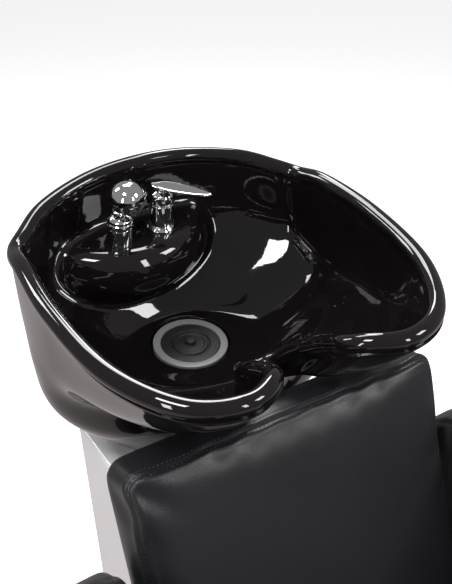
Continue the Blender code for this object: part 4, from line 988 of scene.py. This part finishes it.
@dataclass
class HandSpray:
    """Ball-headed hand spray in its guide."""

    guide: float = 0.0175
    guide_height: float = 0.030
    guide_bore: float = 0.0090
    shank: float = 0.0120
    shank_length: float = 0.028
    collar: float = 0.0188
    collar_height: float = 0.019
    ball: float = 0.026
    ball_offset: Pair = (0.010, -0.005)
    ball_rise: float = 0.0285
    face: float = 0.0140
    face_thick: float = 0.0040
    face_reach: float = 0.0215
    aim: Point = (0.62, -0.60, -0.50)
    hose: float = 0.0070
    tail: float = 0.055

    def build(self) -> None:
        """Make the spray's pieces."""
        deck = on_deck(SPRAY_XY)
        top = self.guide_height
        bore = self.guide_bore
        profile = rounded([(bore, -self.shank_length, 0.0), (self.shank, -self.shank_length, 0.0005),
                           (self.shank, GAP, 0.0), (self.guide, GAP, 0.0006),
                           (self.guide, top, 0.0012), (bore, top, 0.0008),
                           (bore, -self.shank_length, 0.0)])[:-1]
        publish("spray_socket", turned(profile, deck, 80), CHROME, "spray_guide")
        publish("spray_locknut", refined("spray_nut"), DARK, "spray_nut")
        low = top + GAP
        high = low + self.collar_height
        profile = rounded([(bore, low, 0.0), (self.collar - 0.001, low, 0.0005),
                           (self.collar, low + 0.002, 0.001),
                           (self.collar, low + 0.0085, 0.0006), (self.collar - 0.0012, low + 0.0095, 0.0004),
                           (self.collar - 0.0012, low + 0.0110, 0.0004), (self.collar, low + 0.0120, 0.0006),
                           (self.collar - 0.0005, high - 0.004, 0.003), (self.collar - 0.0060, high, 0.002),
                           (bore, high, 0.0), (bore, low, 0.0)])[:-1]
        publish("spray_grip", turned(profile, deck, 80), CHROME, "spray_collar")
        centre = Vector((*self.ball_offset, high + self.ball_rise))
        aim = Vector(self.aim).normalized()
        turn = aim.to_track_quat("Z", "Y").to_matrix().to_4x4()
        head = deck @ Matrix.Translation(centre) @ turn
        seat = self.face_reach
        lip = math.sqrt(self.ball ** 2 - seat ** 2)
        start = math.asin(seat / self.ball)
        profile = [(0.0, seat - 0.0010), (lip - 0.0030, seat - 0.0010), (lip - 0.0024, seat - 0.0002),
                   (lip - 0.0014, seat)]
        profile += [(self.ball * math.cos(turn_), self.ball * math.sin(turn_))
                    for turn_ in np.linspace(start - 0.02, -math.pi / 2.0, 44)]
        profile[-1] = (0.0, -self.ball)
        bm = turned(profile, head, 96)
        neck_top = high + self.ball_rise - 0.019
        neck = turned(rounded([(0.0, high - 0.004, 0.0), (0.0080, high - 0.004, 0.0005),
                               (0.0080, high + 0.002, 0.0),
                               (0.0125, neck_top, 0.0), (0.0, neck_top, 0.0)]),
                      deck @ Matrix.Translation((0.002, -0.001, 0.0)), 48)
        spare = bpy.data.meshes.new("neck")
        neck.to_mesh(spare)
        neck.free()
        bm.from_mesh(spare)
        bpy.data.meshes.remove(spare)
        publish("spray_head", bm, CHROME, "spray_ball", sharp=40.0)
        self.build_face(head @ Matrix.Translation((0.0, 0.0, seat + GAP)))
        length = high - 0.004 + self.tail
        profile = rounded([(0.0, -self.tail, 0.0), (self.hose, -self.tail, 0.0008),
                           (self.hose, length - self.tail - GAP, 0.0), (0.0, length - self.tail - GAP, 0.0)])
        publish("spray_lead", turned(profile, deck, 32), BRAID, "spray_tail")

    def build_face(self, face: Matrix) -> None:
        """Make the spray face with its rings of nozzles.

        Args:
            face: placement of the face's back, with +Z the way the water goes.
        """
        thick = self.face_thick - 0.001
        profile = rounded([(0.0, 0.0, 0.0), (self.face, 0.0, 0.0004), (self.face, thick, 0.0010),
                           (self.face - 0.002, thick, 0.0004), (self.face - 0.0026, thick - 0.0007, 0.0003),
                           (0.0, thick - 0.0002, 0.0)])
        bm = turned(profile, face, 64)
        for radius, count in ((0.0035, 6), (0.0068, 12), (0.0098, 18)):
            for step in range(count):
                turn = math.tau * step / count
                spot = Matrix.Translation((radius * math.cos(turn), radius * math.sin(turn), thick))
                bmesh.ops.create_cone(bm, cap_ends=True, segments=8, radius1=0.0008, radius2=0.0006,
                                      depth=0.0016, matrix=face @ spot)
        publish("spray_rose", bm, DARK, "spray_face")


# ---------------------------------------------------------------- pedestal
@dataclass
class Pedestal:
    """White moulded shell under the basin, with its service door."""

    half: float = 0.181
    foot_half: float = 0.159
    front: float = -0.165
    back: float = 0.086
    corner: float = 0.060
    wall: float = 0.005
    saddle: float = 1.000
    saddle_y: float = -0.020
    saddle_depth: float = -0.114
    full_top: float = -0.090
    mouth: Pair = (0.190, 0.172)
    mouth_y: float = -0.014
    steps: int = 16

    def outline(self, half: float, low: float, high: float, corner: float) -> np.ndarray:
        """A rounded rectangle about the pedestal's middle, in the row frame."""
        steps = self.steps
        points = (arc((half - corner, high - corner), corner, 0.0, 90.0, steps)
                  + arc((corner - half, high - corner), corner, 90.0, 180.0, steps)
                  + arc((corner - half, low + corner), corner, 180.0, 270.0, steps)
                  + arc((half - corner, low + corner), corner, 270.0, 360.0, steps))
        return np.array(points) + (0.0, DRAIN.y)

    def ring(self, inset: float, height: float) -> np.ndarray:
        """A level ring of the wall."""
        slope = (self.half - self.foot_half) / (DRAIN.z + self.full_top)
        half = self.foot_half + slope * height - inset
        flat = self.outline(half, self.front + inset, self.back - inset, self.corner - inset)
        return np.concatenate([flat, np.full((len(flat), 1), height)], axis=1)

    def cradle(self, flat: np.ndarray, drop: float = 0.0) -> np.ndarray:
        """Points of the top at the cradle's height."""
        y = flat[:, 1] - DRAIN.y - self.saddle_y
        height = DRAIN.z + self.saddle_depth + self.saddle - np.sqrt(self.saddle ** 2 - y ** 2) - drop
        return np.concatenate([flat[:, :2], height[:, None]], axis=1)

    def build(self) -> None:
        """Make the shell and dress the door and its latch."""
        top = self.cradle(self.ring(0.0, DRAIN.z + self.saddle_depth))
        rows = [self.ring(0.0015, 0.0), self.ring(0.0, 0.0015)]
        share = [top[:, 2] * f for f in np.linspace(0.05, 0.95, 12)]
        for heights in share:
            rows.append(self.at_heights(0.0, heights))
        for turn in np.linspace(0.0, math.pi / 2.0, 7):
            lip = 0.006
            drop = lip * (1.0 - math.sin(turn))
            rows.append(self.at_heights(lip * (1.0 - math.cos(turn)), top[:, 2] - drop))
        width, depth = self.mouth
        mouth = self.outline(width / 2.0, self.mouth_y - depth / 2.0, self.mouth_y + depth / 2.0, 0.004)
        brow = rows[-1]
        rows += [self.cradle(brow[:, :2] * (1.0 - f) + mouth * f) for f in (0.3, 0.6, 0.97)]
        rows += [self.cradle(mouth, 0.0008), self.cradle(mouth, self.wall)]
        inner = self.at_heights(self.wall, top[:, 2] - self.wall)
        rows += [self.cradle(mouth * (1.0 - f) + inner[:, :2] * f, self.wall) for f in (0.5, 1.0)]
        rows += [self.at_heights(self.wall, top[:, 2] * 0.5), self.ring(self.wall, 0.0)]
        bm = loft(np.array(rows), True, True)
        low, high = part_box("service_door")
        beam_low, beam_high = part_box("seat_beam")
        door = box((high.x - low.x + 0.006, 0.040, high.z - low.z + 0.006),
                   (0.0, DRAIN.y + self.back, (low.z + high.z) / 2.0), bevel=0.003)
        slot = box((beam_high.x - beam_low.x + 0.004, 0.060, beam_high.z - beam_low.z + 0.004),
                   (0.0, DRAIN.y + self.front, (beam_low.z + beam_high.z) / 2.0))
        publish("pedestal_moulding", cut(bm, (door, slot)), GELCOAT, "pedestal_shell", sharp=40.0)
        publish("door_panel", refined("service_door", 0.0), GELCOAT, "service_door")
        publish("door_knob", refined("door_latch", 0.0), DARK, "door_latch")

    def at_heights(self, inset: float, heights: np.ndarray) -> np.ndarray:
        """A ring of the wall whose points stand at different heights."""
        slope = (self.half - self.foot_half) / (DRAIN.z + self.full_top)
        flat = self.ring(inset, DRAIN.z + self.saddle_depth)
        shift = slope * (heights - DRAIN.z - self.saddle_depth)
        x = flat[:, 0] + shift * np.clip(flat[:, 0] / 0.1, -1.0, 1.0)
        return np.stack([x, flat[:, 1], heights], axis=1)


# ---------------------------------------------------------------- upholstery
@dataclass
class Pad:
    """An upholstered pad: two panels and a boxing strip, filled, seamed and stitched.

    Its own frame has the outline in X and Y and the thickness along Z, from 0 down.
    """

    name: str
    node: str
    outline: list[Pair]
    thick: float
    place: Matrix
    crown: float
    fill: float
    held: str = "back"
    seam: float = 0.007
    stitch_gap: float = 0.0075
    voxel: float = 0.006
    start: float = 0.0025
    pressure: float = 3.0
    easing: int = 5
    frames: int = 20

    def blank(self) -> bmesh.types.BMesh:
        """The pad's plain shape, slightly small, before it is filled."""
        points = np.array(inset_outline(self.outline, self.start))
        bm = bmesh.new()
        face = bm.faces.new([bm.verts.new((x, y, -self.start)) for x, y in points])
        grown = bmesh.ops.extrude_face_region(bm, geom=[face])
        moved = [item for item in grown["geom"] if isinstance(item, bmesh.types.BMVert)]
        bmesh.ops.translate(bm, vec=(0.0, 0.0, 2.0 * self.start - self.thick), verts=moved)
        rim = [edge for edge in bm.edges
               if abs(edge.verts[0].co.z - edge.verts[1].co.z) < self.thick / 3.0
               and not all(abs(face.normal.z) > 0.9 for face in edge.link_faces)]
        bmesh.ops.recalc_face_normals(bm, faces=bm.faces)
        bmesh.ops.bevel(bm, geom=rim, offset=self.seam, segments=3, profile=0.5, affect="EDGES", material=-1)
        return bm

    def fill_with_foam(self) -> bpy.types.Mesh:
        """Remesh the blank, fill it by cloth simulation and smooth it once.

        Returns:
            The filled mesh, in the pad's own frame.
        """
        mesh = bpy.data.meshes.new("blank")
        bm = self.blank()
        bm.to_mesh(mesh)
        bm.free()
        piece = bpy.data.objects.new("blank", mesh)
        bpy.context.scene.collection.objects.link(piece)
        remesh = piece.modifiers.new("Voxels", "REMESH")
        remesh.mode = "VOXEL"
        remesh.voxel_size = self.voxel
        even = evaluated(piece)
        piece.modifiers.remove(remesh)
        piece.data = even
        rest = np.array([vert.co for vert in even.vertices])
        self.simulate(piece, rest)
        ease = piece.modifiers.new("Ease", "SMOOTH")
        ease.factor = 0.5
        ease.iterations = self.easing
        smooth = piece.modifiers.new("Smooth", "SUBSURF")
        smooth.levels = 1
        smooth.render_levels = 1
        done = evaluated(piece)
        bpy.data.objects.remove(piece)
        return done

    def simulate(self, piece: bpy.types.Object, rest: np.ndarray) -> None:
        """Blow the pad up like a filled cover and keep how far each point moved, within the crown.

        Args:
            piece: the remeshed pad.
            rest: its points before filling.
        """
        group = piece.vertex_groups.new(name="held")
        low = rest[:, 2] < -self.thick + self.start + 0.010
        held = {"back": low, "both": (rest[:, 2] > -self.thick * 0.62) & (rest[:, 2] < -self.thick * 0.38)}
        group.add(np.flatnonzero(held[self.held]).tolist(), 1.0, "REPLACE")
        cloth = piece.modifiers.new("Fill", "CLOTH")
        cloth.settings.quality = 4
        cloth.settings.mass = 0.3
        cloth.settings.tension_stiffness = 15.0
        cloth.settings.compression_stiffness = 40.0
        cloth.settings.bending_stiffness = 20.0
        cloth.settings.use_pressure = True
        cloth.settings.uniform_pressure_force = self.pressure
        cloth.settings.vertex_group_mass = "held"
        cloth.settings.effector_weights.gravity = 0.0
        cloth.point_cache.frame_start = 1
        cloth.point_cache.frame_end = self.frames
        for number in range(1, self.frames + 1):
            bpy.context.scene.frame_set(number)
        grown = evaluated(piece)
        moved = np.array([vert.co for vert in grown.vertices]) - rest
        piece.modifiers.remove(cloth)
        bpy.context.scene.frame_set(1)
        length = np.linalg.norm(moved, axis=1) + 1e-9
        moved *= (self.crown * np.tanh(length / self.crown) / length)[:, None]
        piece.data.vertices.foreach_set("co", (rest + moved).ravel().astype(np.float32))
        LOG.info("%s filled: up to %.1f mm", self.name, 1000.0 * np.linalg.norm(moved, axis=1).max())

    def seam_lines(self) -> list[np.ndarray]:
        """Closed lines in the pad's frame where the panels meet the boxing."""
        loop = spread_evenly(inset_outline(self.outline, 0.0025), 0.0058)
        front = np.concatenate([loop, np.full((len(loop), 1), -0.0025)], axis=1)
        if self.held == "back":
            return [front]
        back = front.copy()
        back[:, 2] = -self.thick + 0.0025
        return [front, back]

    def build(self) -> None:
        """Make the pad, press its seams in and sew them."""
        mesh = self.fill_with_foam()
        bm = bmesh.new()
        bm.from_mesh(mesh)
        tree = BVHTree.FromBMesh(bm)
        seams = []
        for line in self.seam_lines():
            snapped = np.array([tree.find_nearest(Vector(point))[0] for point in line])
            seams.append(snapped)
        points = np.array([vert.co for vert in bm.verts])
        near = np.full(len(points), 1.0)
        for line in seams:
            for chunk in range(0, len(points), 4000):
                part = points[chunk:chunk + 4000]
                gap = np.linalg.norm(part[:, None] - line[None], axis=2).min(axis=1)
                near[chunk:chunk + 4000] = np.minimum(near[chunk:chunk + 4000], gap)
        bm.normal_update()
        normals = np.array([vert.normal for vert in bm.verts])
        depth = 0.0026 * np.exp(-(near / 0.0032) ** 2) - 0.0010 * np.exp(-((near - 0.0080) / 0.0035) ** 2)
        for vert, shift in zip(bm.verts, -normals * depth[:, None]):
            vert.co += Vector(shift)
        stitches = self.stitches(bm, seams)
        bmesh.ops.transform(bm, matrix=self.place, verts=bm.verts)
        piece = publish(self.name, bm, LEATHER, self.node, sharp=60.0)
        bmesh.ops.transform(stitches, matrix=self.place, verts=stitches.verts)
        publish(f"{self.name}_stitches", stitches, THREAD, body=body_of(self.node))

    def stitches(self, bm: bmesh.types.BMesh, seams: list[np.ndarray]) -> bmesh.types.BMesh:
        """Two rows of stitches beside each seam.

        Args:
            bm: the filled pad.
            seams: its seam lines.

        Returns:
            All the stitches, in the pad's frame.
        """
        tree = BVHTree.FromBMesh(bm)
        one = bmesh.new()
        bmesh.ops.create_uvsphere(one, u_segments=6, v_segments=4, radius=1.0)
        one.verts.index_update()
        shape = np.array([vert.co for vert in one.verts])
        faces = [[vert.index for vert in face.verts] for face in one.faces]
        one.free()
        placed: list[np.ndarray] = []
        for seam in seams:
            centre = seam.mean(axis=0)
            side = 1.0 if centre[2] > -self.thick / 2.0 else -1.0
            for inward, down in ((self.stitch_gap, 0.0), (0.0, self.stitch_gap)):
                for here, there in zip(seam, np.roll(seam, -1, axis=0)):
                    along = Vector(there - here)
                    inner = along.cross(Vector((0.0, 0.0, 1.0))).normalized()
                    if inner.dot(Vector(here - centre)) > 0.0:
                        inner = -inner
                    guess = Vector((here + there) / 2.0) + inner * inward - Vector((0.0, 0.0, side * down))
                    spot, normal, _, _ = tree.find_nearest(guess)
                    along.normalize()
                    axes = np.array([along * 0.0019, normal.cross(along) * 0.00055, normal * 0.00045])
                    placed.append(shape @ axes + spot + normal * 0.0001)
        mesh = bpy.data.meshes.new("stitches")
        mesh.from_pydata(np.concatenate(placed), [],
                         [[index + number * len(shape) for index in face]
                          for number in range(len(placed)) for face in faces])
        sewn = bmesh.new()
        sewn.from_mesh(mesh)
        bpy.data.meshes.remove(mesh)
        return sewn


def inset_outline(points: Sequence[Pair], distance: float) -> list[Pair]:
    """A closed outline that runs anticlockwise, moved inwards by a distance."""
    ring = np.array(points)
    along = np.roll(ring, -1, axis=0) - np.roll(ring, 1, axis=0)
    inward = np.stack([-along[:, 1], along[:, 0]], axis=1)
    inward /= np.linalg.norm(inward, axis=1)[:, None] + 1e-12
    return [tuple(point) for point in ring + inward * distance]


def spread_evenly(points: Sequence[Pair], pitch: float) -> np.ndarray:
    """Points at an even pitch round a closed outline."""
    ring = np.array(list(points) + [points[0]])
    measure = np.concatenate([[0.0], np.cumsum(np.linalg.norm(np.diff(ring, axis=0), axis=1))])
    places = np.linspace(0.0, measure[-1], int(measure[-1] / pitch), endpoint=False)
    return np.stack([np.interp(places, measure, ring[:, axis]) for axis in range(2)], axis=1)


def rectangle(width: float, height: float, corner: float, steps: int = 7) -> list[Pair]:
    """A rounded rectangle from y = 0 down to y = -height, running anticlockwise."""
    half = width / 2.0
    return (arc((half - corner, -corner), corner, 0.0, 90.0, steps)
            + arc((corner - half, -corner), corner, 90.0, 180.0, steps)
            + arc((corner - half, corner - height), corner, 180.0, 270.0, steps)
            + arc((half - corner, corner - height), corner, 270.0, 360.0, steps))


@dataclass
class Seating:
    """The reclined back, the seat and the two arms."""

    back_width: float = 0.492
    back_height: float = 0.395
    back_thick: float = 0.075
    lean: float = math.radians(20.0)
    back_top: Pair = (-0.266, 0.062)
    corner: float = 0.030
    arm_thick: float = 0.075

    def build(self) -> None:
        """Make the four pads."""
        place = (Matrix.Translation((0.0, DRAIN.y + self.back_top[0], DRAIN.z + self.back_top[1]))
                 @ Matrix.Rotation(-self.lean, 4, "X") @ Matrix.Rotation(math.pi / 2.0, 4, "X"))
        Pad("back_pad", "back_cushion", rectangle(self.back_width, self.back_height, self.corner),
            self.back_thick, place, crown=0.011, fill=0.75).build()
        low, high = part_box("seat_cushion")
        place = Matrix.Translation(((low.x + high.x) / 2.0, high.y, high.z))
        Pad("seat_pad", "seat_cushion", rectangle(high.x - low.x, high.y - low.y, 0.040), high.z - low.z,
            place, crown=0.014, fill=0.7).build()
        for word in ("left", "right"):
            low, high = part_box(f"arm_{word}")
            back, front, foot = 0.120, 0.080, 0.020
            shape = (arc((high.y - back, high.z - back), back, 0.0, 90.0, 14)
                     + arc((low.y + front, high.z - front), front, 90.0, 180.0, 12)
                     + arc((low.y + foot, low.z + foot), foot, 180.0, 270.0, 6)
                     + arc((high.y - foot, low.z + foot), foot, 270.0, 360.0, 6))
            place = Matrix(((0.0, 0.0, 1.0, high.x), (1.0, 0.0, 0.0, 0.0), (0.0, 1.0, 0.0, 0.0),
                            (0.0, 0.0, 0.0, 1.0)))
            Pad(f"arm_{word}_pad", f"arm_{word}", shape, self.arm_thick, place, crown=0.006, fill=0.85,
                held="both", voxel=0.007).build()


# ---------------------------------------------------------------- frame and pipes
@dataclass
class Metalwork:
    """Steel frame, pivot, boards, fittings and pipes, each a softened copy of its CAD node."""

    hoses: tuple[str, ...] = ("waste_hose", "supply_hose_hot", "supply_hose_cold", "spray_hose")

    def build(self) -> None:
        """Dress every node that no other class has replaced."""
        slots = {item["node"]: item["material_slot"] for item in frame["record"]["subparts"]}
        for node, item in frame["nodes"].items():
            if item.hide_render:
                continue
            finish = FINISHES[slots[node]]
            if node in self.hoses:
                self.build_hose(node, finish)
                continue
            soft = 0.0015 if finish is STEEL else 0.0006
            bm = refined(node, 0.0 if node == "trap" else soft)
            publish(f"{node}_piece", bm, finish, node)

    def build_hose(self, node: str, finish: Finish) -> None:
        """Make a hose as a plain copy of its CAD node, on no body."""
        piece = finished(f"{node}_run", refined(node, 0.0), finish, (node,), 60.0)
        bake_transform(piece)


# ---------------------------------------------------------------- stage
@dataclass
class Studio:
    """Floor, lights, world and camera."""

    eye: Point = (-0.5390, -0.9780, 0.8140)
    ahead: Point = (0.44049, 0.71441, -0.54367)
    roll: float = 0.126
    lens: float = 55.48
    lamps: tuple[tuple[str, Point, Point, Pair, float], ...] = (
        ("key", (-1.0, -0.3, 2.6), (0.0, 0.3, 0.8), (0.50, 0.50), 20.0),
        ("overhead", (0.35, 1.3, 2.4), (0.0, 0.4, 0.9), (0.9, 0.5), 16.0),
        ("fill", (1.7, -1.3, 2.2), (0.0, 0.1, 0.8), (0.7, 0.7), 24.0),
        ("rear_left", (-1.1, 2.0, 2.3), (0.0, 0.3, 0.8), (0.45, 0.8), 16.0),
        ("rear_right", (1.2, 1.9, 2.4), (0.0, 0.3, 0.8), (0.45, 0.8), 16.0),
        ("side_strip", (-2.1, -0.9, 1.5), (0.0, 0.3, 0.85), (0.25, 1.1), 14.0),
        ("front_strip", (0.6, -2.3, 1.9), (0.0, 0.0, 0.7), (0.3, 1.0), 14.0),
    )

    def build(self) -> None:
        """Make the stage."""
        scene = bpy.context.scene
        scene.view_settings.view_transform = "Standard"
        floor_finish = Graph("stage_floor")
        floor_finish.feed(Base_Color=(0.90, 0.90, 0.92, 1.0), Roughness=0.75)
        seen = floor_finish.node("ShaderNodeLightPath", output="Is Camera Ray")
        dim = floor_finish.node("ShaderNodeBsdfDiffuse", None, {"Color": (0.55, 0.50, 0.50, 1.0)})
        floor_finish.feed(Emission_Color=(1.0, 1.0, 1.0, 1.0), Emission_Strength=0.62)
        mix = floor_finish.node("ShaderNodeMixShader", None,
                                {0: seen, 1: dim, 2: Signal(floor_finish, floor_finish.shader.outputs[0])})
        floor_finish.join(mix, floor_finish.tree.nodes["Material Output"].inputs["Surface"])
        bm = bmesh.new()
        bmesh.ops.create_grid(bm, x_segments=1, y_segments=1, size=6.0)
        mesh = bpy.data.meshes.new("floor")
        bm.to_mesh(mesh)
        bm.free()
        mesh.materials.append(floor_finish.material)
        floor = bpy.data.objects.new("floor", mesh)
        scene.collection.objects.link(floor)
        world = bpy.data.worlds.new("studio")
        scene.world = world
        world.use_nodes = True
        nodes, links = world.node_tree.nodes, world.node_tree.links
        sky = nodes["Background"]
        sky.inputs["Color"].default_value = (1.0, 1.0, 1.0, 1.0)
        sky.inputs["Strength"].default_value = 0.26
        white = nodes.new("ShaderNodeBackground")
        white.inputs["Color"].default_value = (1.0, 1.0, 1.0, 1.0)
        white.inputs["Strength"].default_value = 1.0
        sort = nodes.new("ShaderNodeMixShader")
        path = nodes.new("ShaderNodeLightPath")
        links.new(path.outputs["Is Camera Ray"], sort.inputs[0])
        links.new(sky.outputs[0], sort.inputs[1])
        links.new(white.outputs[0], sort.inputs[2])
        links.new(sort.outputs[0], nodes["World Output"].inputs["Surface"])
        for lamp in self.lamps:
            self.light(*lamp)
        self.camera()

    def light(self, name: str, where: Point, at: Point, size: Pair, power: float) -> None:
        """Add a rectangular softbox.

        Args:
            name: its name.
            where: its place.
            at: what it points at.
            size: its width and height.
            power: its power in watts.
        """
        data = bpy.data.lights.new(name, "AREA")
        data.shape = "RECTANGLE"
        data.size, data.size_y = size
        data.energy = power
        lamp = bpy.data.objects.new(name, data)
        lamp.location = where
        lamp.rotation_euler = (Vector(at) - Vector(where)).to_track_quat("-Z", "Y").to_euler()
        bpy.context.scene.collection.objects.link(lamp)

    def camera(self) -> None:
        """Add the camera."""
        data = bpy.data.cameras.new("camera")
        data.lens = self.lens
        data.sensor_width = 36.0
        camera = bpy.data.objects.new("camera", data)
        bpy.context.scene.collection.objects.link(camera)
        ahead = Vector(self.ahead).normalized()
        right = ahead.cross(Vector((0.0, 0.0, 1.0))).normalized()
        right.rotate(Matrix.Rotation(math.radians(self.roll), 3, ahead))
        up = right.cross(ahead)
        camera.matrix_world = Matrix.Translation(Vector(self.eye) + Vector((0.0, DRAIN.y, DRAIN.z))) @ Matrix(
            (right, up, -ahead)).transposed().to_4x4()
        bpy.context.scene.camera = camera


def main() -> None:
    """Build every sub-assembly."""
    logging.basicConfig(level=logging.INFO, format="%(message)s")
    Studio().build()
    Basin().build()
    Drain().build()
    Mixer().build()
    HandSpray().build()
    Pedestal().build()
    Seating().build()
    Metalwork().build()


if __name__ == "__main__":
    main()
